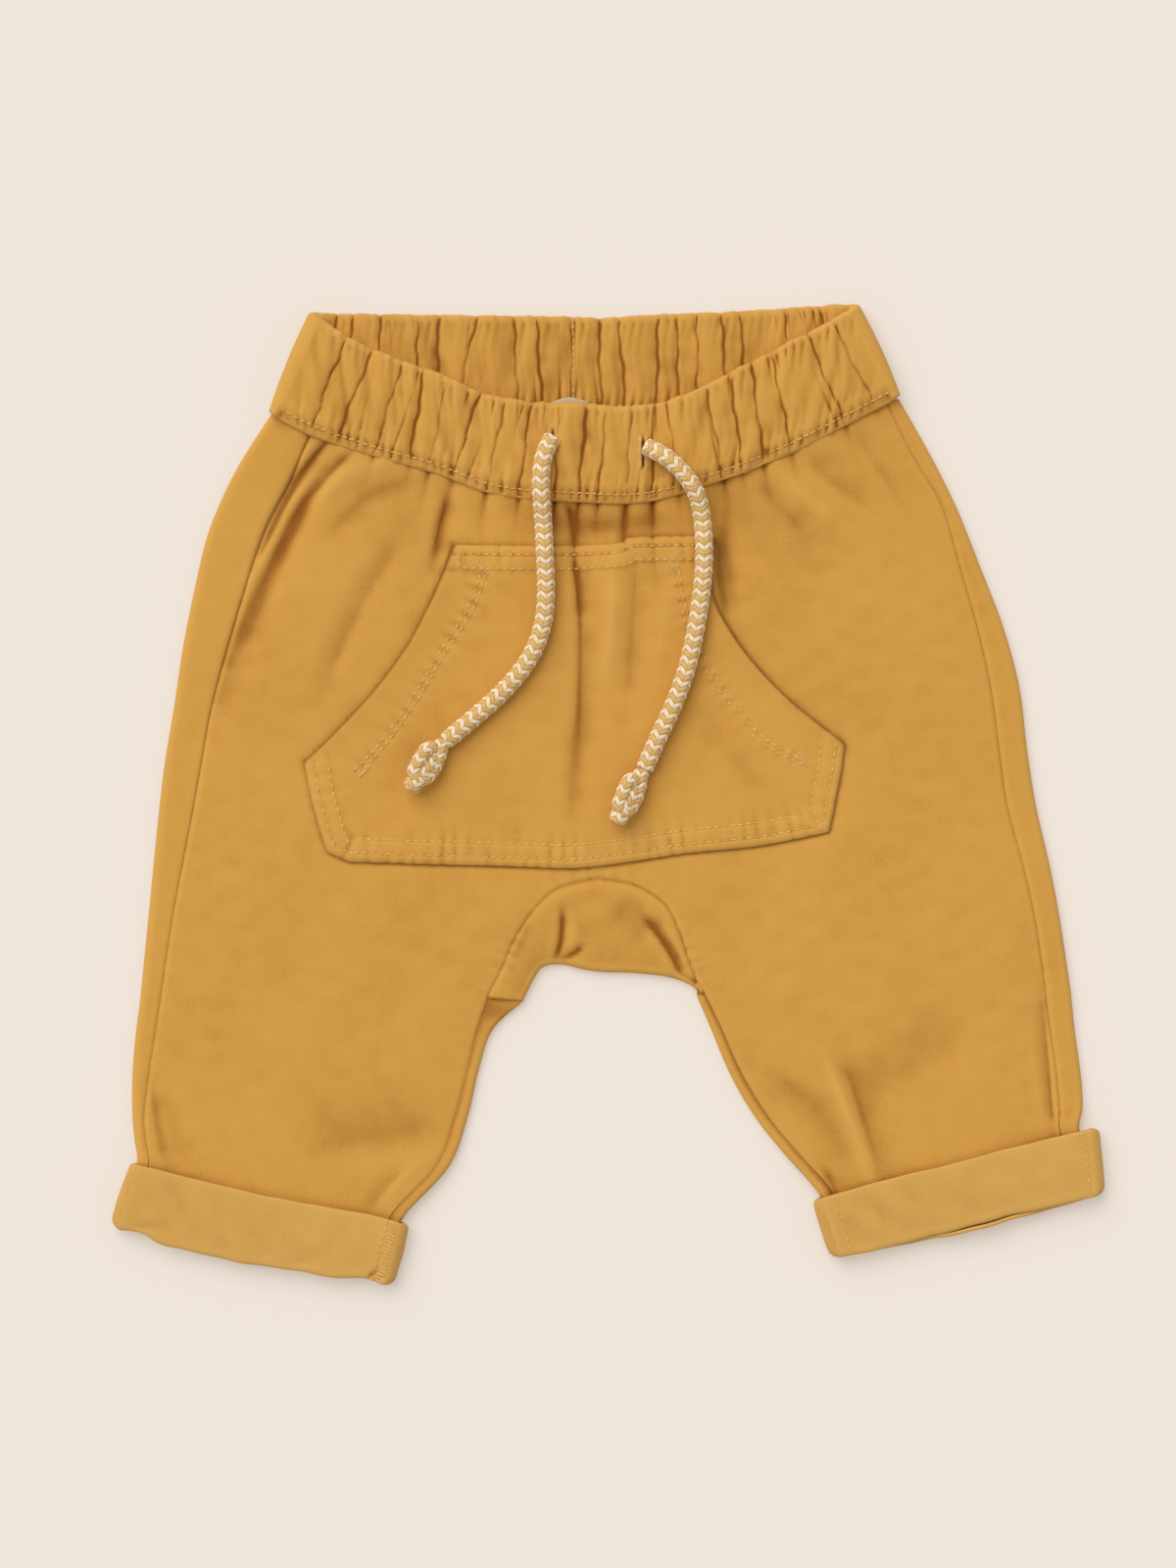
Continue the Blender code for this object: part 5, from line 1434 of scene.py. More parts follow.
@dataclass
class GatherStrip:
    """The band's front or back: where its gathers run and how its cloth swells between them."""

    gathers: Rows
    low: Rows
    top: Rows
    seed: int
    swell: float = 1.7
    casing: float = 3.2
    end_swell: float = 1.05
    hem_drop: float = 0.0
    slit_depth: float = 1.5
    stitch_sink: float = 0.04
    top_scallop: float = 0.34
    hem_scallop: float = 0.22
    # Painted shade of the open face: all over, at each gather's sharp edge and along its flanks.
    base_dark: float = 0.0
    edge_painted_shade: float = 0.42
    flank_painted_shade: float = 0.24
    short_folds: int = 34
    slits: Rows = ()

    def stations(self, spacing: float) -> tuple[Array, Array]:
        """Spread stations along the strip, each following the gathers beside it.

        Args:
            spacing: About how far apart they are.

        Returns:
            Their x on the top edge and on the lower edge.
        """
        top_x = np.array([self.top[0][0], *(row[0] for row in self.gathers), self.top[-1][0]])
        low_x = np.array([self.low[0][0], *(row[1] for row in self.gathers), self.low[-1][0]])
        way = np.concatenate([[0], np.cumsum(0.5 * (np.diff(top_x) + np.diff(low_x)))])
        count = int(way[-1] / spacing)
        wanted = np.linspace(0, way[-1], count)
        return np.interp(wanted, way, top_x), np.interp(wanted, way, low_x)

    def relief(self, top_x: Array, low_x: Array, up: Array, height: Array) -> Array:
        """Read how far the cloth stands out from the band's wall.

        Args:
            top_x: The stations' x on the top edge.
            low_x: The stations' x on the lower edge.
            up: Shares of the band's height.
            height: The band's height at each station.

        Returns:
            The relief, stations by shares.
        """
        x = low_x[:, None] + up * (top_x - low_x)[:, None]
        rise = up * height[:, None]
        swell = np.ones(x.shape)
        for away, depth, flank, edge in self.folds(x, up, rise):
            broad = 0.42 * hump(away, 2.3 * flank) + 0.28 * hump(away, 0.6 * flank)
            swell -= depth * (broad + 0.5 * np.exp(-np.abs(away) / edge))
        swell = np.maximum(swell, -0.4)
        rng = np.random.default_rng(self.seed + 1)
        minor = np.zeros(x.shape)
        for wave in (2.9, 4.1, 5.7):
            bend = 0.8 * np.sin(rise * 0.25 + rng.uniform(0, 6))
            minor += np.cos(2 * math.pi * (x + bend) / wave + rng.uniform(0, 6))
        near_top = np.exp(-((height[:, None] - rise) / 5.0))
        near_stitch = hump(rise - self.casing, 4.5)
        broad = Wrinkles(self.seed, 7.0, 18.0, heading=0.0, spread=50.0).at(x, rise)
        patch = 0.35 + 0.65 * np.sin(0.19 * x + rng.uniform(0, 6)) ** 2
        swell += patch * minor * (0.02 + 0.1 * near_top + 0.12 * near_stitch) + 0.2 * broad
        for slit_x, middle, tall in self.slits:
            along = ease(0.5 * tall - np.abs(rise - middle), -0.5, 0.8)
            swell -= self.slit_depth * along * hump(x - slit_x, 0.6)
        inner = ease(np.minimum(x - low_x[0], low_x[-1] - x), 0.0, 13.0)
        stitched = hump(rise - self.casing, 1.1)
        drop = self.hem_drop * (1 - ease(rise, -1.0, 6.5))
        swollen = self.end_swell + inner * (self.swell * swell - self.end_swell)
        return swollen - self.stitch_sink * stitched - drop

    def folds(self, x: Array, up: Array, rise: Array) -> list[tuple[Array, Array, Array, float]]:
        """Measure each gather, and the short folds that start at the two edges.

        Args:
            x: The points' x.
            up: Their shares of the band's height.
            rise: Their heights over the lower edge.

        Returns:
            For each, the points' distances from it, its depth, its flanks' widths and its sharp edge's.
        """
        rng = np.random.default_rng(self.seed)
        found = []
        held = 0.45 + 0.55 * ease(rise, 1.6, self.casing + 1.2)
        for top, low, width, top_depth, low_depth in self.gathers:
            bend = 0.3 * np.sin(rise * 0.3 + rng.uniform(0, 6))
            bend = bend + 0.16 * np.sin(rise * 0.75 + rng.uniform(0, 6))
            away = x - low - up * (top - low) - bend
            flank = width * np.where(away * rng.choice((-1, 1)) > 0, 1.25, 0.72)
            share = 0.8 + 0.28 * np.sin(rise / rng.uniform(4.0, 8.0) + rng.uniform(0, 6))
            edge = 0.16 + 0.5 * rng.random() ** 1.6
            found.append((away, (low_depth + up * (top_depth - low_depth)) * share * held, flank, edge))
        first, last = self.low[0][0] + 16.0, self.low[-1][0] - 14.0
        for place in rng.uniform(first, last, self.short_folds):
            nearest = min(self.gathers, key=lambda row: abs(row[1] - place))
            lean = nearest[0] - nearest[1] + rng.uniform(-4.0, 4.0)
            at_top = rng.random() < 0.45
            edge_rise = (1 - up) * BAND_HEIGHT if at_top else np.maximum(rise - self.casing, 0.0)
            away = x - place - up * lean
            depth = held * rng.uniform(0.14, 0.5) * np.exp(-((edge_rise / rng.uniform(4.0, 13.0)) ** 1.5))
            flank = np.full(np.shape(away), rng.uniform(0.6, 1.3))
            found.append((away, depth, flank, rng.uniform(0.25, 0.45)))
        return found

    def shade(self, spacing: float, up: Array) -> Array:
        """Read the painted shade that the gathers and broad soft folds put on the band's open face, darker
        towards its lower edge.

        Args:
            spacing: The stations' spacing.
            up: Shares of the band's height.

        Returns:
            Shares to add to the fold attribute, stations by shares.
        """
        top_x, low_x = self.stations(spacing)
        x = low_x[:, None] + up[None] * (top_x - low_x)[:, None]
        # Broad patches of painted shade, and darker towards the lower edge.
        patches = Wrinkles(self.seed + 2, 12.0, 30.0, heading=0.0, spread=45.0).at(x, up[None] * BAND_HEIGHT)
        painted_shade = self.base_dark + 0.07 * patches + 0.08 * (0.5 - up[None])
        for away, depth, flank, edge in self.folds(x, up[None], up[None] * BAND_HEIGHT):
            painted_shade += depth * (self.edge_painted_shade * hump(away, edge) + self.flank_painted_shade * hump(away, flank))
        return painted_shade

    def surface(self, spacing: float, up: Array) -> tuple[Array, Array, Array]:
        """Lay the strip out in plan.

        Args:
            spacing: The stations' spacing.
            up: Shares of the band's height.

        Returns:
            The plan and the relief, stations by shares, and the stations' heights.
        """
        top_x, low_x = self.stations(spacing)
        low = np.stack([low_x, y_on(self.low, low_x)], axis=1)
        top = np.stack([top_x, y_on(self.top, top_x)], axis=1)
        height = np.linalg.norm(top - low, axis=1)
        relief = self.relief(top_x, low_x, up[None, :], height)
        plan = low[:, None] + up[None, :, None] * (top - low)[:, None]
        scallop = self.top_scallop * (relief[:, -2] - relief[:, -2].mean())
        hem = -self.hem_scallop * (relief[:, 1] - relief[:, 1].mean())
        ends = np.minimum(1.0, np.minimum(np.arange(len(top_x)), np.arange(len(top_x))[::-1]) / 12.0)
        shift = scallop[:, None] * up[None, :] ** 8 + hem[:, None] * (1 - up[None, :]) ** 14
        plan = plan + unit(top - low)[:, None] * (shift * ends[:, None])[..., None]
        return plan, relief, height


@dataclass
class Waistband(Piece):
    """The gathered casing over its elastic: a flat ring with one turn at each side."""

    spacing: float = 0.42
    rows: int = 33
    turn_steps: int = 11
    edge_round: float = 1.4
    hem_round: float = 0.6
    thinnest: float = math.sqrt(0.02)
    side_swell: float = 0.5
    front_swell: float = 0.7
    back_swell: float = 0.6
    stitch_rise: float = 0.2
    cut: tuple[float, float] = (0.500, 0.037)
    slits: ClassVar[Rows] = ((-18.6, 19.9, 7.5), (12.0, 16.9, 10.0))
    front: GatherStrip = field(
        default_factory=lambda: GatherStrip(
            FRONT_GATHERS, FRONT_SEAM, FRONT_TOP, 31, hem_drop=2.5, slits=Waistband.slits
        )
    )
    # The back carries painted shade all over its inner face.
    back: GatherStrip = field(
        default_factory=lambda: GatherStrip(BACK_GATHERS, BACK_SEAM, BACK_TOP, 47, 1.45, base_dark=0.12)
    )

    def shares(self) -> Array:
        """Shares of the band's height, closer together at its edges."""
        t = np.linspace(0, 1, self.rows)
        return 0.5 * t + 0.5 * (0.5 - 0.5 * np.cos(math.pi * t))

    def fullness(self, up: Array, height: Array) -> Array:
        """Round the wall at the band's two edges, from nearly 0 there to 1, at shares up its height."""
        edge = np.where(up < 0.5, self.hem_round, self.edge_round)
        return np.maximum(quarter_round(np.minimum(up, 1 - up) * height[:, None] / edge), self.thinnest)

    def strip(self, source: GatherStrip, z: float, faces_up: bool) -> Array:
        """Make the sections of the front or the back.

        Args:
            source: The strip.
            z: The height of the wall's middle.
            faces_up: Whether the outer face is the upper one.

        Returns:
            Closed sections, left to right.
        """
        up = self.shares()
        plan, relief, height = source.surface(self.spacing, up)
        full = self.fullness(up, height)
        half = 0.5 * BAND_WALL * full
        swollen = half + np.maximum(relief, -1.2) * full
        first, second = lifted(plan, z + swollen), lifted(plan, z - half)
        if not faces_up:
            first, second = second, first
        return np.concatenate([first, second[:, ::-1]], axis=1)

    def turn(self, side: int, first: Array, last: Array) -> Array:
        """Round one side of the band between two sections.

        Args:
            side: 1 at the right and -1 at the left.
            first: The section before the turn.
            last: The section after it.

        Returns:
            The sections between them.
        """
        count = len(first) // 2
        feet = [0.5 * (section[0, :2] + section[-1, :2]) for section in (first, last)]
        heads = [0.5 * (section[count, :2] + section[count - 1, :2]) for section in (first, last)]
        radius = 0.5 * (BAND_FRONT_Z - BAND_BACK_Z)
        centre_z = 0.5 * (BAND_FRONT_Z + BAND_BACK_Z)
        up = self.shares()
        sections = []
        for angle in np.linspace(0, math.pi, self.turn_steps + 2)[1:-1]:
            share = angle / math.pi
            foot = (1 - share) * feet[0] + share * feet[1]
            rise = (1 - share) * heads[0] + share * heads[1] - foot
            height = np.linalg.norm(rise)
            outward = side * np.array((rise[1], -rise[0])) / height * math.sin(angle)
            turned = side * math.cos(angle)
            half = 0.5 * BAND_WALL * self.fullness(up, np.array([height]))[0]
            swell = self.side_swell * math.sin(angle) * np.sin(math.pi * up)
            swell = swell + self.front_swell * max(turned, 0.0)
            middle = lifted(foot + up[:, None] * rise + outward * radius, centre_z + radius * turned)
            normal = np.array((*outward, turned))
            outer = middle + normal * (half * (1 + swell))[:, None]
            inner = middle - normal * (half * (1 + self.back_swell * max(-turned, 0.0)))[:, None]
            sections.append(np.concatenate([outer, inner[::-1]]))
        return np.array(sections)

    def build(self, wardrobe: Wardrobe) -> Object:
        """Make the ring.

        Args:
            wardrobe: The finishes.

        Returns:
            The piece.
        """
        front = self.strip(self.front, BAND_FRONT_Z, True)
        back = self.strip(self.back, BAND_BACK_Z, False)[::-1]
        right, left = self.turn(1, front[-1], back[0]), self.turn(-1, back[-1], front[0])
        ring = np.concatenate([front, right, back, left])
        ring[..., 2] = np.maximum(ring[..., 2], 0.0)
        middle = ring[:, self.rows // 2]
        u = run_of(np.concatenate([middle, middle[:1]]))
        up = self.shares()
        inside = BAND_HEIGHT + BAND_WALL
        v = np.concatenate([up * BAND_HEIGHT, inside + (1 - up[::-1]) * BAND_HEIGHT, [2 * inside]])
        # Painted shade of the gathers on the front's upper face and on the back's inner face.
        painted_shade = np.zeros(ring.shape[:2])
        painted_shade[: len(front), : self.rows] = self.front.shade(self.spacing, up)
        start = len(front) + len(right)
        painted_shade[start : start + len(back), self.rows :] = self.back.shade(self.spacing, up)[::-1, ::-1]
        obj = ring_mesh(self.name, ring, u, v, painted_shade)
        self.dress(obj, wardrobe.cloth)
        return obj

    def casing_line(self, source: GatherStrip, z: float) -> Array:
        """Trace the stitched line over the casing's lower edge.

        Args:
            source: The strip.
            z: The height of the wall's middle.

        Returns:
            The line's points.
        """
        up = np.array([0.0, source.casing / BAND_HEIGHT, 0.5, 1.0])
        plan, relief, _ = source.surface(self.spacing, up)
        return lifted(plan[:, 1], z + 0.5 * BAND_WALL + relief[:, 1] + self.stitch_rise)

    def seam_line(self, offset: float) -> Array:
        """Trace a line on the inner face, that far to the right of the centre-back seam."""
        up = np.linspace(0.12, 0.97, 60)
        return self.upright(self.back, BAND_BACK_Z, CENTRE_BACK_X + offset, up)

    def upright(self, source: GatherStrip, z: float, x: float, up: Array) -> Array:
        """Trace an upright line on a strip's open face.

        Args:
            source: The strip.
            z: The height of the wall's middle.
            x: The line's x.
            up: Shares of the band's height.

        Returns:
            The line's points.
        """
        foot, head = y_on(source.low, x), y_on(source.top, x)
        place = np.array([source.low[0][0], x, source.low[-1][0]])
        relief = source.relief(place, place, up[None, :], np.full(3, head - foot))[1]
        y = foot + up * (head - foot)
        return np.stack([np.full(len(up), x), y, z + 0.5 * BAND_WALL + relief], axis=1)

    def buttonhole_lines(self) -> list[Array]:
        """Trace the two stitched sides of each buttonhole.

        Returns:
            The lines.
        """
        found = []
        for x, middle, tall in self.slits:
            height = float(y_on(FRONT_TOP, x) - y_on(FRONT_SEAM, x))
            up = np.linspace(middle - 0.55 * tall, middle + 0.55 * tall, 24) / height
            for offset in (-1.0, 1.0):
                found.append(self.upright(self.front, BAND_FRONT_Z, x + offset, up))
        return found


@dataclass
class PatchPocket(Piece):
    """The patch pocket, sewn along its top, its short sides and its bottom, and open at its two curves."""

    columns: int = 190
    rows: int = 168
    hem: float = 8.0
    lines: tuple[float, float] = (2.8, 7.6)
    hem_pair: tuple[float, float] = (-0.9, 0.9)
    line_depth: float = 0.2
    ripple: float = 5.2
    ripple_depth: float = 0.22
    hem_depth: float = 0.08
    hem_pucker: float = 4.8
    gape_lift: tuple[float, float] = (0.95, 1.2)
    middle: tuple[float, float] = (-10.0, 20.0)
    # Strengths of the painted shadow in the left and right open edges, where they gape.
    edge_painted_shade: tuple[float, float] = (0.75, 0.5)
    cut: tuple[float, float] = (0.186, 0.112)
    cut_area: float = 0.0152
    sewn: list[Array] = field(init=False)
    open_edges: list[Array] = field(init=False)
    hems: list[Array] = field(init=False)

    def __post_init__(self) -> None:
        """Trace the edges once."""
        v = np.linspace(0, 1, 200)
        left, right = self.side_line(POCKET_LEFT, v), self.side_line(POCKET_RIGHT, v)
        corner = 0.1 * OPEN_ROWS
        top = smooth_curve(POCKET_TOP, v)
        bottom = smooth_curve(POCKET_BOTTOM, v)
        self.sewn = [top, left[v >= corner], bottom, right[v >= corner]]
        self.open_edges = [left[v <= corner], right[v <= corner]]
        self.hems = [smooth_curve(POCKET_HEM_LEFT, v), smooth_curve(POCKET_HEM_RIGHT, v)]

    def side_line(self, table: Rows, v: Array) -> Array:
        """Follow a side: a smooth curve to its corner, then straight lines.

        Args:
            table: The side's rows.
            v: Shares of its rows.

        Returns:
            Its points.
        """
        points = np.asarray(table, float)
        row = v * (len(points) - 1)
        curve = smooth_curve(points[: OPEN_ROWS + 1], row / OPEN_ROWS)
        straight = np.stack([np.interp(row, np.arange(len(points)), points[:, k]) for k in range(2)], axis=1)
        return np.where((row < OPEN_ROWS)[:, None], curve, straight)

    def height(self, x: Array, y: Array) -> Array:
        """Read the height of the middle of the pocket's cloth.

        Args:
            x, y: The points in plan.

        Returns:
            The heights.
        """
        z = UPPER.height(x, y) + POCKET_LIFT
        sewn = np.full(np.shape(x), np.inf)
        for k, line in enumerate(self.sewn):
            distance, run, _ = near_line(x, y, line)
            sewn = np.minimum(sewn, distance)
            warped = run + 0.8 * np.sin(run * 0.31 + k)
            ripple = 0.5 + 0.5 * np.cos(2 * math.pi * warped / self.ripple)
            puckered = self.ripple_depth * ripple * (0.6 + 0.4 * np.sin(run * 0.17 + k))
            z = z - puckered * hump(distance - 5.0, 5.5)
        z = z + 0.28 * (1 - ease(sewn, self.hem - 0.6, self.hem + 0.9)) - 0.45 * np.exp(-sewn / 0.6)
        for line in self.lines:
            z = z - self.line_depth * hump(sewn - line, 0.8)
        for k, line in enumerate(self.open_edges):
            distance, run, _ = near_line(x, y, line)
            lift = np.sin(math.pi * np.clip(run / run_of(line)[-1], 0, 1)) ** 0.6
            z = z + self.gape_lift[k] * lift * np.exp(-distance / 7.0) - 0.4 * np.exp(-distance / 0.4)
            hem_distance, hem_run, side = near_line(x, y, self.hems[k])
            for offset in self.hem_pair:
                z = z - self.hem_depth * hump(hem_distance * side - offset, 0.9)
            z = z + 0.1 * np.cos(2 * math.pi * hem_run / self.hem_pucker) * hump(hem_distance, 3.2)
        return z

    def build(self, wardrobe: Wardrobe) -> Object:
        """Make the pocket.

        Args:
            wardrobe: The finishes.

        Returns:
            The piece.
        """
        u = np.concatenate([[0, 0.0025], np.linspace(0.006, 0.994, self.columns - 4), [0.9975, 1]])[:, None]
        v = np.linspace(0, 1, self.rows)
        left, right = (self.side_line(table, v)[:, None] for table in (POCKET_LEFT, POCKET_RIGHT))
        top, bottom = (even_curve(table, self.columns)[None] for table in (POCKET_TOP, POCKET_BOTTOM))
        v = v[:, None, None]
        plan = left + u * (right - left)
        plan = plan + (1 - v) * (top - left[:1] - u * (right[:1] - left[:1]))
        plan = plan + v * (bottom - left[-1:] - u * (right[-1:] - left[-1:]))
        x, y = plan[..., 0], plan[..., 1]
        # Painted shade from the upper cloth, lightened a little, and painted shadow in the open edges,
        # deepest where they gape near the top.
        painted_shade = UPPER.shade(x, y) - 0.04
        for line, strength in zip(self.open_edges, self.edge_painted_shade):
            distance, run, _ = near_line(x, y, line)
            gape = np.exp(-run / 12.0)
            painted_shade = painted_shade + strength * (1.0 + 0.8 * gape) * hump(distance, 0.55 + 0.5 * gape)
        obj = grid_mesh(self.name, lifted(plan, self.height(x, y)), plan, painted_shade)
        self.dress(obj, wardrobe.cloth, CLOTH)
        return obj

    def on_surface(self, plan: Array) -> Array:
        """Lift a line in plan onto the pocket's upper face."""
        return lifted(plan, self.height(plan[:, 0], plan[:, 1]) + 0.5 * CLOTH)

    def inset_line(self, line: Array, inset: float, start: float, end: float) -> Array:
        """Trace a line at a distance inside an edge.

        Args:
            line: The edge.
            inset: The distance.
            start: The share of the edge where it starts.
            end: The share where it ends.

        Returns:
            Its points on the pocket's face.
        """
        points = even_points(line, 160)
        inward = left_of(points)
        inward = inward * np.sign(((np.array(self.middle) - points) * inward).sum(axis=1).mean())
        return self.on_surface((points + inward * inset)[int(160 * start) : int(160 * end)])

    def bar_tacks(self) -> list[Array]:
        """Trace the short, close rows of stitches at the ends of the hems.

        Returns:
            The lines.
        """
        ends = (
            ((-50.6, 82.6), (-50.4, 77.4)), ((-44.4, 78.4), (-40.4, 75.0)), ((-81.0, 9.6), (-84.6, 6.0)),
            ((21.0, 78.8), (24.8, 75.2)), ((64.0, 12.6), (68.4, 9.6)),
        )
        return [self.on_surface(np.linspace(first, last, 12)) for first, last in ends]

    def stitch_lines(self) -> list[Array]:
        """Trace the pocket's stitches: two lines along each sewn edge and two along each hem.

        Returns:
            The lines.
        """
        top, left, bottom, right = self.sewn
        near, deep = self.lines
        rows = (
            (top, near, 0.04, 0.96), (top, deep, 0.05, 0.95), (bottom, near, 0.0, 0.99),
            (bottom, deep, 0.03, 0.93), (left, near, 0.03, 1.0), (left, deep, 0.03, 0.78),
            (right, near, 0.03, 0.98), (right, deep, 0.03, 0.8),
        )
        pairs = [hem + left_of(hem) * offset for hem in self.hems for offset in self.hem_pair]
        return [self.inset_line(*row) for row in rows] + [self.on_surface(line) for line in pairs]


@dataclass
class TurnUp(Piece):
    """A turned-up leg end: a flat tube round the leg that shows the cloth's reverse."""

    low: Rows = CUFF_LEFT_LOW
    top: Rows = CUFF_LEFT_TOP
    columns: int = 130
    wall_rows: int = 18
    turn_steps: int = 13
    seed: int = 61
    back_drop: float = 0.0
    corner: float = 3.4
    rise: float = 21.0
    # Painted shade over the two turned ends.
    turn_dark: float = 0.3
    dents: Rows = ()
    cut: tuple[float, float] = (0.205, 0.0235)

    def wave(self, run: Array, up: Array) -> Array:
        """Read the soft unevenness of the wall.

        Args:
            run: Distance along the turn-up.
            up: Share of its height, from the fold up.

        Returns:
            How far it stands out.
        """
        soft = Wrinkles(self.seed, 9.0, 30.0, heading=25.0, spread=90.0).at(run, up * self.rise)
        body = np.sin(math.pi * np.clip(up, 0, 1)) ** 0.7
        dent = np.zeros(np.shape(run))
        for place, share, lean, width, tall, depth in self.dents:
            dent += depth * hump(run - place - lean * (up - share), width) * hump(up - share, tall)
        return (0.34 + 0.16 * soft) * body - dent

    def section(
        self, low: Array, top: Array, z: Array, normal: Array, run: Array, shift: Array | None = None
    ) -> Array:
        """Make closed sections of the turn-up.

        Args:
            low: The fold's points in plan.
            top: The upper edge's points in plan.
            z: The outer face's heights.
            normal: Directions out of the tube.
            run: Distance along the turn-up.
            shift: How far each section is moved out in plan, less at its corners.

        Returns:
            The sections' points.
        """
        length = np.linalg.norm(top - low, axis=1)[:, None]
        wall = np.concatenate([[1.0, 0.985], np.linspace(0.95, 0.05, self.wall_rows - 2)])
        inside = np.linspace(0.14, 0.99, 8)
        foot = (0.25, 0.8, 1.6, CUFF_FOOT - 0.4, CUFF_FOOT, CUFF_FOOT, CUFF_WALL)
        depth = np.concatenate([[0.45], np.zeros(self.wall_rows), foot, np.full(len(inside), CUFF_WALL)])
        share = np.concatenate([[1.012], wall, np.zeros(7), inside])
        foot_lift = (0.35, 0.05, 0.0, 0.1, 0.6, CUFF_FOOT_RISE, CUFF_FOOT_RISE)
        lift = np.concatenate([np.zeros(1 + self.wall_rows), foot_lift, np.zeros(len(inside))])
        up = share * length + lift
        depth = np.tile(depth, (len(low), 1))
        depth[:, 1 : self.wall_rows + 1] -= self.wave(*np.meshgrid(run, wall, indexing="ij"))
        plan = low[:, None] + unit(top - low)[:, None] * up[..., None]
        if shift is not None:
            corner = np.minimum(up / self.corner, (1.03 * length - up) / (0.6 * self.corner))
            plan = plan + shift[:, None] * quarter_round(corner)[..., None]
        return lifted(plan, z[:, None]) - depth[..., None] * normal[:, None]

    def build(self, wardrobe: Wardrobe) -> Object:
        """Make the tube.

        Args:
            wardrobe: The finishes.

        Returns:
            The piece.
        """
        low, top = even_curve(self.low, self.columns), even_curve(self.top, self.columns)
        run = run_of(low)
        rng = np.random.default_rng(self.seed)
        ripple = 0.14 * np.sin(run / 5.1 + rng.uniform(0, 6)) + 0.12 * np.sin(run / 2.3 + rng.uniform(0, 6))
        rise = unit(top - low)
        shift = rise * (ripple * np.sin(math.pi * np.linspace(0, 1, self.columns)) ** 0.5)[:, None]
        low, top = low + shift, top + 0.6 * shift
        up = np.tile((0.0, 0.0, 1.0), (self.columns, 1))
        front = self.section(low, top, np.full(self.columns, CUFF_HEIGHT_Z), up, run)
        sag = self.back_drop * hump(run / run[-1] - 0.56, 0.32)
        drop = rise * sag[:, None]
        back = self.section(low - drop, top - drop, 2.0 * sag, -up, run + 200.0)[::-1]
        radius = 0.5 * CUFF_HEIGHT_Z
        angle = np.linspace(0, math.pi, self.turn_steps + 2)[1:-1]
        turns = []
        for side, index in ((1, -1), (-1, 0)):
            across = unit(top[index] - low[index])
            outward = side * np.array((across[1], -across[0])) * np.sin(angle)[:, None]
            height = side * np.cos(angle)
            turns.append(self.section(
                np.tile(low[index], (self.turn_steps, 1)), np.tile(top[index], (self.turn_steps, 1)),
                radius + radius * height, lifted(outward, height), run[index] + angle, radius * outward,
            ))
        ring = np.concatenate([front, turns[0], back, turns[1]])
        ring[..., 2] = np.maximum(ring[..., 2], 0.0)
        middle = ring[:, self.wall_rows // 2]
        v = run_of(ring[0])
        painted_shade = np.zeros(ring.shape[:2])
        # Painted shade over the two turned ends.
        painted_shade[self.columns : self.columns + self.turn_steps] = self.turn_dark
        painted_shade[-self.turn_steps :] = self.turn_dark
        u = run_of(np.concatenate([middle, middle[:1]]))
        obj = ring_mesh(self.name, ring, u, np.append(v, v[-1] + 1.0), painted_shade)
        self.dress(obj, wardrobe.reverse)
        return obj

    def end_line(self, share: float, inset: float) -> Array:
        """Trace a line up the turn-up near one of its ends.

        Args:
            share: 0 for the left end and 1 for the right one.
            inset: Its distance in from that end.

        Returns:
            Its points on the upper face.
        """
        low, top = even_curve(self.low, 300), even_curve(self.top, 300)
        run = run_of(low)
        index = int(np.searchsorted(run, inset if share == 0 else run[-1] - inset))
        up = np.linspace(0.03, 0.97, 40)
        plan = low[index] + up[:, None] * (top[index] - low[index])
        return lifted(plan, CUFF_HEIGHT_Z + self.wave(np.full(40, run[index]), up))


@dataclass
class LabelTab(Piece):
    """The small blank tab inside the back of the waistband."""

    bow: float = 0.5
    arch: float = 1.6

    def build(self, wardrobe: Wardrobe) -> Object:
        """Make the tab.

        Args:
            wardrobe: The finishes.

        Returns:
            The piece.
        """
        width, length, wall = LABEL_SIZE
        x, y = np.meshgrid(np.linspace(-0.5, 0.5, 19) * width, np.linspace(-0.5, 0.5, 19) * length)
        curve = np.cos(math.pi * x / width)
        z = BAND_BACK_Z + 0.5 * BAND_WALL + BAND_SWELL + SEAM_GAP + 0.5 * wall + self.bow * curve
        y_bent = y + (self.arch * curve - 1.0) * (2 * np.maximum(y, 0) / length) ** 2
        plan = np.stack([LABEL_CENTRE[0] + x, LABEL_CENTRE[1] + y_bent], axis=-1)
        obj = grid_mesh(self.name, lifted(plan, z), plan, flip=True)
        self.dress(obj, wardrobe.tape, wall)
        return obj


# ---------------------------------------------------------------- cords


def tube_frame(path: Array) -> tuple[Array, Array]:
    """Carry a frame along a path without twist.

    Args:
        path: The path's points.

    Returns:
        Two directions across the path at each point.
    """
    along = unit(np.gradient(path, axis=0))
    first = np.zeros_like(path)
    up = np.array((0.0, 0.0, 1.0))
    if abs(along[0] @ up) > 0.9:
        up = np.array((1.0, 0.0, 0.0))
    first[0] = up - (up @ along[0]) * along[0]
    first[0] /= np.linalg.norm(first[0])
    for i in range(1, len(path)):
        carried = first[i - 1] - (first[i - 1] @ along[i]) * along[i]
        first[i] = carried / np.linalg.norm(carried)
    return first, np.cross(along, first)


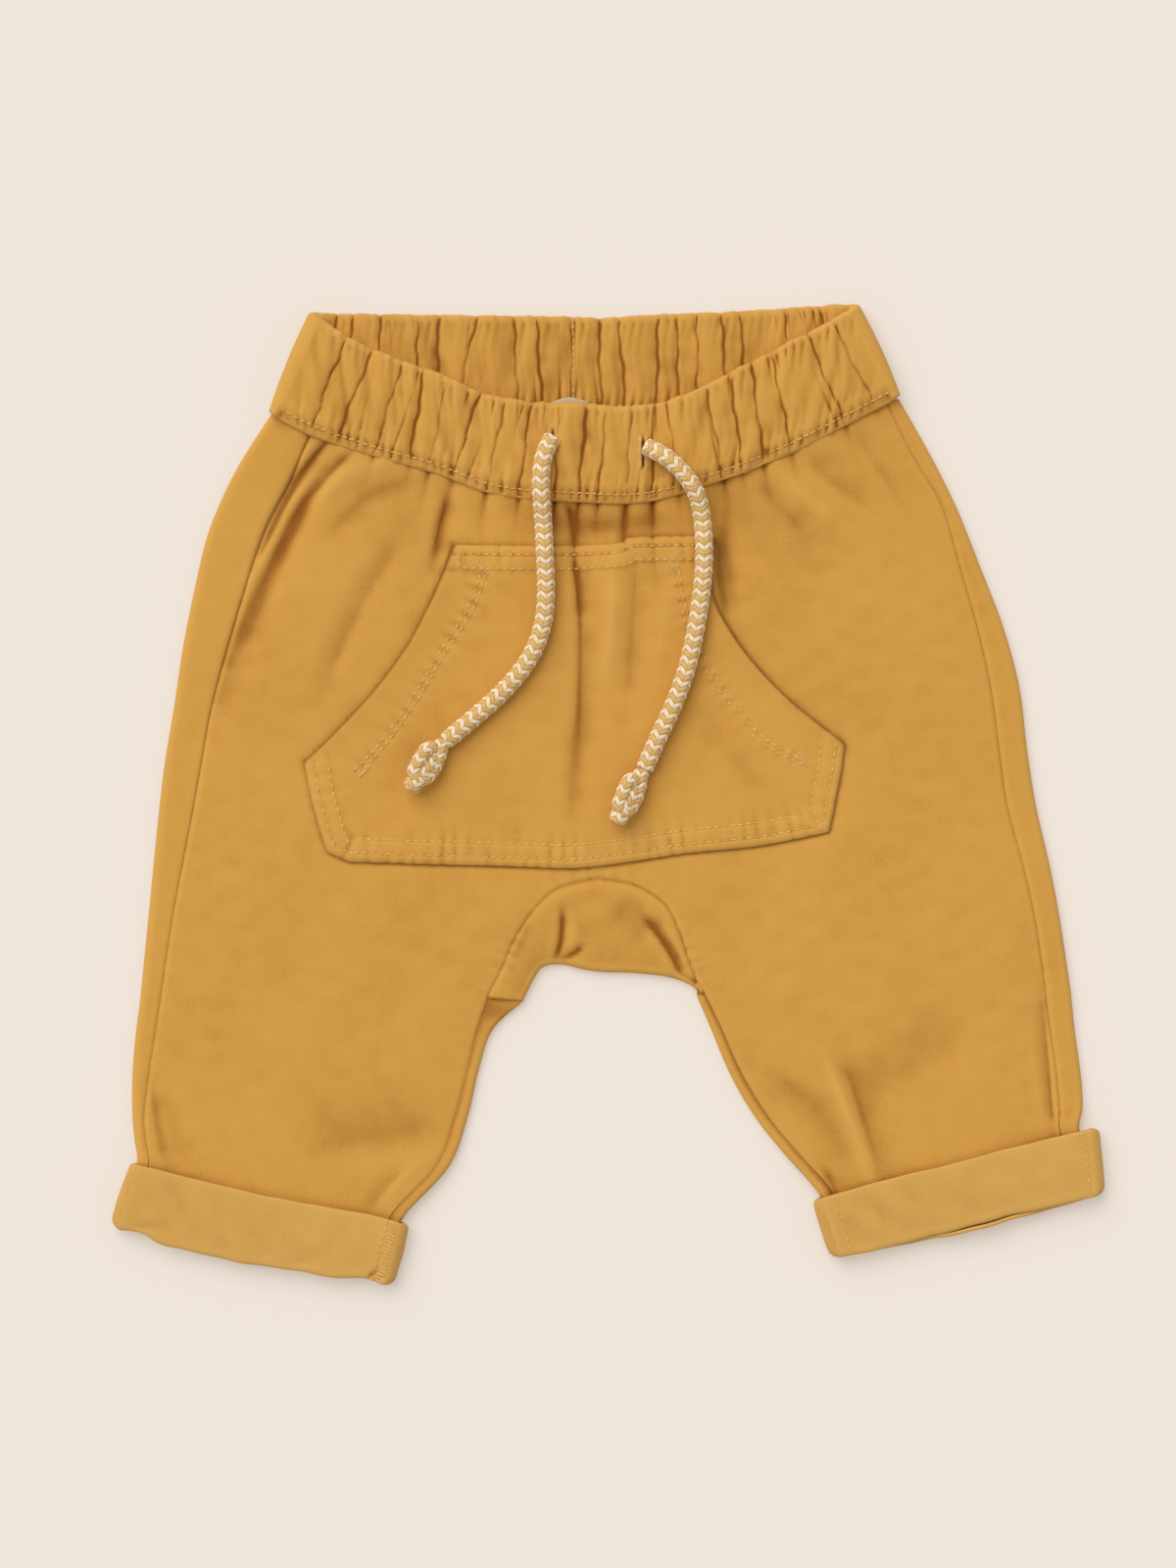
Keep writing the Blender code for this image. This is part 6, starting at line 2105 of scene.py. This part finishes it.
def braid_tube(name: str, path: Array, radius: Array, around: int, run_start: float = 0.0) -> Object:
    """Make a braided tube with relief yarns and round ends.

    Args:
        name: The piece's name.
        path: Its centreline.
        radius: Its radius at each point.
        around: How many points go round it.
        run_start: Where its pattern starts along the cord.

    Returns:
        The object.
    """
    run = run_of(path)
    place = run + run_start
    first, second = tube_frame(path)
    turns = np.arange(around + 1) / around
    column = turns * Drawcord.strands
    zigzag = 1 - np.abs(column % 2 - 1) - 0.5
    phase = place[:, None] / Drawcord.row + Drawcord.slant * zigzag
    crown = np.sin(math.pi * (phase % 1)) ** 0.7 * (0.55 + 0.45 * np.sin(math.pi * (column % 1)) ** 0.5)
    from_end = np.minimum(run, run[-1] - run)[:, None]
    rounding = np.maximum(quarter_round(from_end / Drawcord.end_round), 0.02)
    relief = Drawcord.relief * crown - Drawcord.sunk
    reach = ((radius[:, None] + relief) * rounding)[..., None]
    angle = 2 * math.pi * turns[:, None]
    points = path[:, None] + reach * (first[:, None] * np.cos(angle) + second[:, None] * np.sin(angle))
    index = np.arange(len(path) * around).reshape(len(path), around)
    faces = quads(index, wrap_columns=True)
    uv = np.stack(corner_places(place, turns)[::-1], axis=-1)
    k = np.arange(around // 2 - 1)
    for end, order in ((0, 1), (-1, -1)):
        cap = index[end][np.stack([k, k + 1, around - 2 - k, around - 1 - k], axis=1)]
        corners = np.zeros((len(cap), 4, 2))
        corners[..., 1] = place[end]
        faces, uv = np.concatenate([faces, cap[:, ::order]]), np.concatenate([uv, corners])
    return make_mesh(name, points[:, :-1].reshape(-1, 3), faces, uv, closed=True)


def surface_top(x: Array, y: Array) -> Array:
    """Read what a cord lies on: the front, the pocket or the band, smoothed at their steps.

    Args:
        x, y: The points in plan.

    Returns:
        The heights.
    """
    front = UPPER.smooth_height(x, y) + 0.5 * CLOTH
    band = BAND_FRONT_Z + 0.5 * BAND_WALL + BAND_SWELL
    over_band = 1 / (1 + np.exp((y_on(FRONT_SEAM, x) - 3.0 - y) / 1.6))
    rest = front + POCKET_LIFT / (1 + np.exp((y - 88.5) / 1.2))
    return rest + over_band * (band - rest)


@dataclass
class Drawcord(Piece):
    """A free end of the drawstring, from its buttonhole to its knot."""

    strands: ClassVar[int] = 8
    row: ClassVar[float] = 1.95
    slant: ClassVar[float] = 0.85
    relief: ClassVar[float] = 0.42
    sunk: ClassVar[float] = 0.34
    end_round: ClassVar[float] = 1.6
    route: Rows = LEFT_CORD

    def path(self, points: int) -> Array:
        """Lay the cord over the garment.

        Args:
            points: How many points to give.

        Returns:
            Its centreline.
        """
        plan = even_curve(self.route, 60)
        z = surface_top(plan[:, 0], plan[:, 1]) + CORD_CLEARANCE + 0.5 * CORD_DIAMETER
        sink = 3.2 * hump(run_of(plan), 6.0)
        line = lifted(plan, z - sink)
        smooth = line.copy()
        for _ in range(3):
            smooth[1:-1] = 0.25 * smooth[:-2] + 0.5 * smooth[1:-1] + 0.25 * smooth[2:]
        return even_points(smooth_curve(smooth, np.linspace(0, 1, 900)), points)

    def build(self, wardrobe: Wardrobe, knot: Object) -> Object:
        """Make the cord.

        Args:
            wardrobe: The finishes.
            knot: The knot on its end; not used.

        Returns:
            The piece.
        """
        path = self.path(400)
        radius = np.full(len(path), 0.5 * CORD_DIAMETER)
        obj = braid_tube(self.name, path, radius, 40)
        self.dress(obj, wardrobe.braid)
        return obj


@dataclass
class CordKnot(Piece):
    """An overhand knot, drawn tight: the cord comes down, turns back over itself, dips through and ends."""

    ends: Rows = LEFT_KNOT
    yarn: float = 2.75
    spread: float = 1.0
    route: Rows = (
        (-3.6, -0.2, -1.2), (2.0, 1.7, -1.4), (6.5, 2.5, -1.0), (10.4, 2.1, -0.2), (12.4, -0.1, 0.9),
        (10.8, -2.4, 1.5), (7.0, -2.9, 1.7), (3.0, -2.9, 1.3), (1.2, -1.5, 0.2), (3.0, 0.4, -0.8),
        (7.0, 0.7, 0.3), (11.0, 0.1, 0.6), (14.2, -0.3, 0.2), (17.0, -0.3, -0.6),
    )

    def build(self, wardrobe: Wardrobe) -> Object:
        """Make the knot.

        Args:
            wardrobe: The finishes.

        Returns:
            The piece.
        """
        start, end = (np.array(point) for point in self.ends)
        heading = unit(end - start)
        sideways = np.array((-heading[1], heading[0]))
        centre = 0.5 * (start + end)
        base = float(surface_top(centre[:1], centre[1:])[0]) + CORD_CLEARANCE + 4.4
        local = smooth_curve(self.route, np.linspace(0, 1, 260))
        plan = start + heading * local[:, :1] + sideways * (self.spread * local[:, 1:2])
        path = even_points(lifted(plan, base + local[:, 2]), 220)
        share = np.linspace(0, 1, len(path))
        radius = self.yarn - 0.25 * np.sin(math.pi * share) + 0.55 * ease(share, 0.86, 0.97)
        obj = braid_tube(self.name, path, radius, 34, run_start=3.0)
        return self.dress(obj, wardrobe.braid)


# ---------------------------------------------------------------- stitching


@dataclass
class StitchSetting:
    """Sizes of one kind of stitch: its pitch, its length, its thread and its turn from the line."""

    pitch: float = 2.7
    length: float = 2.1
    thread: float = 0.27
    turn: float = 0.0
    sink: float = -0.09


def stitch_tree(material: Material) -> NodeTree:
    """Build the node tree that lays stitches along lines.

    Args:
        material: The thread's finish.

    Returns:
        The tree, with named inputs for its sizes and a fixed seed.
    """
    tree = bpy.data.node_groups.new("stitches_on_line", "GeometryNodeTree")
    tree.interface.new_socket("Lines", in_out="INPUT", socket_type="NodeSocketGeometry")
    for name, kind, default in (
        ("Pitch", "Float", 0.0027), ("Stitch Length", "Float", 0.0019), ("Thread Radius", "Float", 0.0002),
        ("Turn", "Float", 0.0), ("Seed", "Int", 7), ("Thread", "Material", material),
    ):
        socket = tree.interface.new_socket(name, in_out="INPUT", socket_type="NodeSocket" + kind)
        socket.default_value = default
    tree.interface.new_socket("Stitches", in_out="OUTPUT", socket_type="NodeSocketGeometry")

    def add(kind: str, inputs: dict | None = None, output: int = 0, **settings: object) -> NodeSocket:
        """Add a node and give one of its outputs."""
        return add_node(tree, kind, inputs, **settings).outputs[output]

    def random(low: float, high: float) -> NodeSocket:
        """Draw a number for each stitch."""
        inputs = {2: low, 3: high, "Seed": given["Seed"]}
        return add("FunctionNodeRandomValue", inputs, 1, data_type="FLOAT")

    given = add_node(tree, "NodeGroupInput").outputs
    curve = add("GeometryNodeMeshToCurve", {"Mesh": given["Lines"]})
    spaced = add("GeometryNodeResampleCurve", {"Curve": curve, "Length": given["Pitch"]}, mode="LENGTH")
    half = add("ShaderNodeMath", {0: given["Stitch Length"], 1: 0.5}, operation="MULTIPLY")
    size = add("ShaderNodeCombineXYZ", {0: half, 1: given["Thread Radius"], 2: given["Thread Radius"]})
    ball = add("GeometryNodeMeshUVSphere", {"Segments": 8, "Rings": 6, "Radius": 1.0})
    stitch = add("GeometryNodeTransform", {"Geometry": ball, "Scale": size})
    tangent = add("GeometryNodeInputTangent")
    along = add("FunctionNodeAlignRotationToVector", {"Vector": tangent}, axis="X")
    sway = add("ShaderNodeMath", {0: given["Turn"], 1: random(-0.12, 0.12)}, operation="ADD")
    turn = add("ShaderNodeCombineXYZ", {2: sway})
    turned = add("FunctionNodeRotateRotation", {0: along, 1: turn}, rotation_space="LOCAL")
    placed = add("GeometryNodeInstanceOnPoints", {
        "Points": spaced, "Instance": stitch, "Rotation": turned, "Scale": random(0.86, 1.08),
    })
    real = add("GeometryNodeRealizeInstances", {"Geometry": placed})
    painted = add("GeometryNodeSetMaterial", {"Geometry": real, "Material": given["Thread"]})
    add_node(tree, "NodeGroupOutput", {0: painted})
    return tree


@dataclass
class Stitching(Piece):
    """Rows of stitches, laid along lines by one node tree and kept as a plain mesh."""

    seed: int = 7

    def lay(
        self, tree: NodeTree, thread: Material, lines: list[Array], setting: StitchSetting, seed: int
    ) -> Mesh:
        """Lay one kind of stitch.

        Args:
            tree: The node tree.
            thread: The thread's finish.
            lines: The lines in millimetres.
            setting: The stitch's sizes.
            seed: The random seed.

        Returns:
            The stitches' mesh.
        """
        points = np.concatenate([line - (0, 0, setting.sink) for line in lines]) * MM
        ends = np.cumsum([len(line) for line in lines])
        first = np.setdiff1d(np.arange(len(points)), ends - 1)
        mesh = bpy.data.meshes.new("stitch_lines")
        mesh.from_pydata(points.tolist(), np.stack([first, first + 1], axis=1).tolist(), [])
        obj = add_object("stitch_lines", mesh)
        modifier = obj.modifiers.new("Stitches", "NODES")
        modifier.node_group = tree
        values = {
            "Pitch": setting.pitch * MM, "Stitch Length": setting.length * MM,
            "Thread Radius": setting.thread * MM, "Turn": setting.turn, "Seed": seed, "Thread": thread,
        }
        for item in tree.interface.items_tree:
            if item.in_out == "INPUT" and item.name in values:
                modifier[item.identifier] = values[item.name]
        made = bpy.data.meshes.new_from_object(obj.evaluated_get(bpy.context.evaluated_depsgraph_get()))
        bpy.data.objects.remove(obj, do_unlink=True)
        return made

    def build(
        self, tree: NodeTree, wardrobe: Wardrobe, kinds: list[tuple[list[Array], StitchSetting]]
    ) -> Object:
        """Lay every kind of stitch of this group and join them.

        Args:
            tree: The node tree.
            wardrobe: The finishes.
            kinds: Lines and the stitch that each list of them takes.

        Returns:
            The piece.
        """
        points, corners, sizes, start = [], [], [], 0
        for k, (lines, setting) in enumerate(kinds):
            mesh = self.lay(tree, wardrobe.thread, lines, setting, self.seed + k)
            points.append(read_all(mesh.vertices, "co", 3, np.float32).reshape(-1, 3))
            corners.append(read_all(mesh.loops, "vertex_index", 1, np.int32) + start)
            sizes.append(read_all(mesh.polygons, "loop_total", 1, np.int32))
            start += len(mesh.vertices)
            bpy.data.meshes.remove(mesh)
        starts = np.concatenate([[0], np.cumsum(np.concatenate(sizes))[:-1]])
        mesh = fill_mesh(self.name, np.concatenate(points), np.concatenate(corners), starts)
        return self.dress(add_object(self.name, mesh), wardrobe.thread)


# ---------------------------------------------------------------- studio


@dataclass
class Studio:
    """The floor, the soft light and the camera over the garment."""

    floor_colour: tuple[float, float, float] = (0.858, 0.785, 0.701)
    floor_side: float = 6.0
    view_height: float = 533.3
    centre: tuple[float, float] = (-6.67, 3.5)
    distance: float = 1500.0
    garment_middle: float = 5.0
    far_clip: float = 20.0
    sensor: float = 36.0
    sky: float = 0.54
    sky_colour: tuple[float, float, float, float] = (1.0, 0.985, 0.965, 1.0)
    sun: float = 2.0
    sun_angle: float = 55.0
    sun_tilt: tuple[float, float] = (-33.0, -28.0)

    def build(self) -> None:
        """Set the stage."""
        side = 0.5 * self.floor_side
        mesh = bpy.data.meshes.new("floor")
        corners = [(-side, -side, 0), (side, -side, 0), (side, side, 0), (-side, side, 0)]
        mesh.from_pydata(corners, [], [range(4)])
        mesh.materials.append(FloorFinish("floor_paper", self.floor_colour).make())
        floor = add_object("floor", mesh)

        world = bpy.data.worlds.new("studio")
        world.use_nodes = True
        background = world.node_tree.nodes["Background"].inputs
        background["Color"].default_value = self.sky_colour
        background["Strength"].default_value = self.sky
        bpy.context.scene.world = world
        light = bpy.data.lights.new("softbox", "SUN")
        light.energy = self.sun
        light.angle = math.radians(self.sun_angle)
        lamp = add_object("softbox", light)
        lamp.rotation_euler = tuple(math.radians(turn) for turn in (*self.sun_tilt, 0.0))
        bpy.context.scene.view_settings.view_transform = "Standard"

    def place_camera(self) -> None:
        """Put the camera straight above, with the photograph's frame."""
        lens = bpy.data.cameras.new("overhead")
        lens.sensor_width = self.sensor
        lens.lens = self.sensor * self.distance / self.view_height
        lens.clip_end = self.far_clip
        camera = add_object("overhead", lens)
        place = (*self.centre, self.distance + self.garment_middle)
        camera.location = tuple(value * MM for value in place)
        bpy.context.scene.camera = camera


def main() -> None:
    """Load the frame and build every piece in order."""
    logging.basicConfig(level=logging.INFO, format="%(name)s %(message)s")
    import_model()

    studio = Studio()
    studio.place_camera()
    wardrobe = Wardrobe()
    cords = (("left", LEFT_CORD, LEFT_KNOT, 1.0), ("right", RIGHT_CORD, RIGHT_KNOT, 0.85))
    for side, route, ends, spread in cords:
        knot = CordKnot(f"knot_{side}_braid", (f"knot_{side}",), Slot.BRAID, ends=ends, spread=spread)
        cord = Drawcord(f"drawcord_{side}_braid", (f"drawcord_{side}",), Slot.BRAID, route=route)
        cord.build(wardrobe, knot.build(wardrobe))
    studio.build()

    for side, half in (("left", LEFT_HALF), ("right", RIGHT_HALF)):
        BackPanel(f"back_{side}_cloth", (f"back_{side}",), Slot.CLOTH, half=half).build(wardrobe)
    FrontPanel("front_cloth", ("front",), Slot.CLOTH).build(wardrobe)
    Gusset("gusset_cloth", ("gusset",), Slot.CLOTH).build(wardrobe)
    band = Waistband("waistband_cloth", ("waistband",), Slot.CLOTH)
    band.build(wardrobe)
    pocket = PatchPocket("pocket_cloth", ("pocket",), Slot.CLOTH)
    pocket.build(wardrobe)
    left_cuff = TurnUp("cuff_left_cloth", ("cuff_left",), Slot.REVERSE, dents=CUFF_DENTS)
    left_cuff.build(wardrobe)
    right_cuff = TurnUp(
        "cuff_right_cloth", ("cuff_right",), Slot.REVERSE, low=CUFF_RIGHT_LOW, top=CUFF_RIGHT_TOP, seed=67,
        back_drop=1.9,
    )
    right_cuff.build(wardrobe)
    LabelTab("label_tab", ("label",), Slot.TAPE).build(wardrobe)

    tree = stitch_tree(wardrobe.thread)
    plain, fine = StitchSetting(), StitchSetting(pitch=2.4, length=1.8, thread=0.24, sink=-0.1)
    satin = StitchSetting(pitch=0.5, length=1.5, thread=0.24, turn=0.5 * math.pi)
    overlock = StitchSetting(pitch=1.2, length=3.4, thread=0.24, turn=0.4 * math.pi, sink=-0.12)
    Stitching("waistband_stitches", (), Slot.CLOTH, seed=101).build(tree, wardrobe, [
        ([band.casing_line(band.front, BAND_FRONT_Z), band.casing_line(band.back, BAND_BACK_Z)], plain),
        ([band.seam_line(0.7)], fine),
        (band.buttonhole_lines(), satin),
    ])
    Stitching("pocket_stitches", (), Slot.CLOTH, seed=131).build(tree, wardrobe, [
        (pocket.stitch_lines(), plain), (pocket.bar_tacks(), satin),
    ])
    Stitching("cuff_stitches", (), Slot.REVERSE, seed=151).build(tree, wardrobe, [
        ([left_cuff.end_line(1, 4.4), right_cuff.end_line(0, 3.4), right_cuff.end_line(1, 2.2)], fine),
        ([left_cuff.end_line(1, 1.7)], overlock),
    ])


if __name__ == "__main__":
    main()
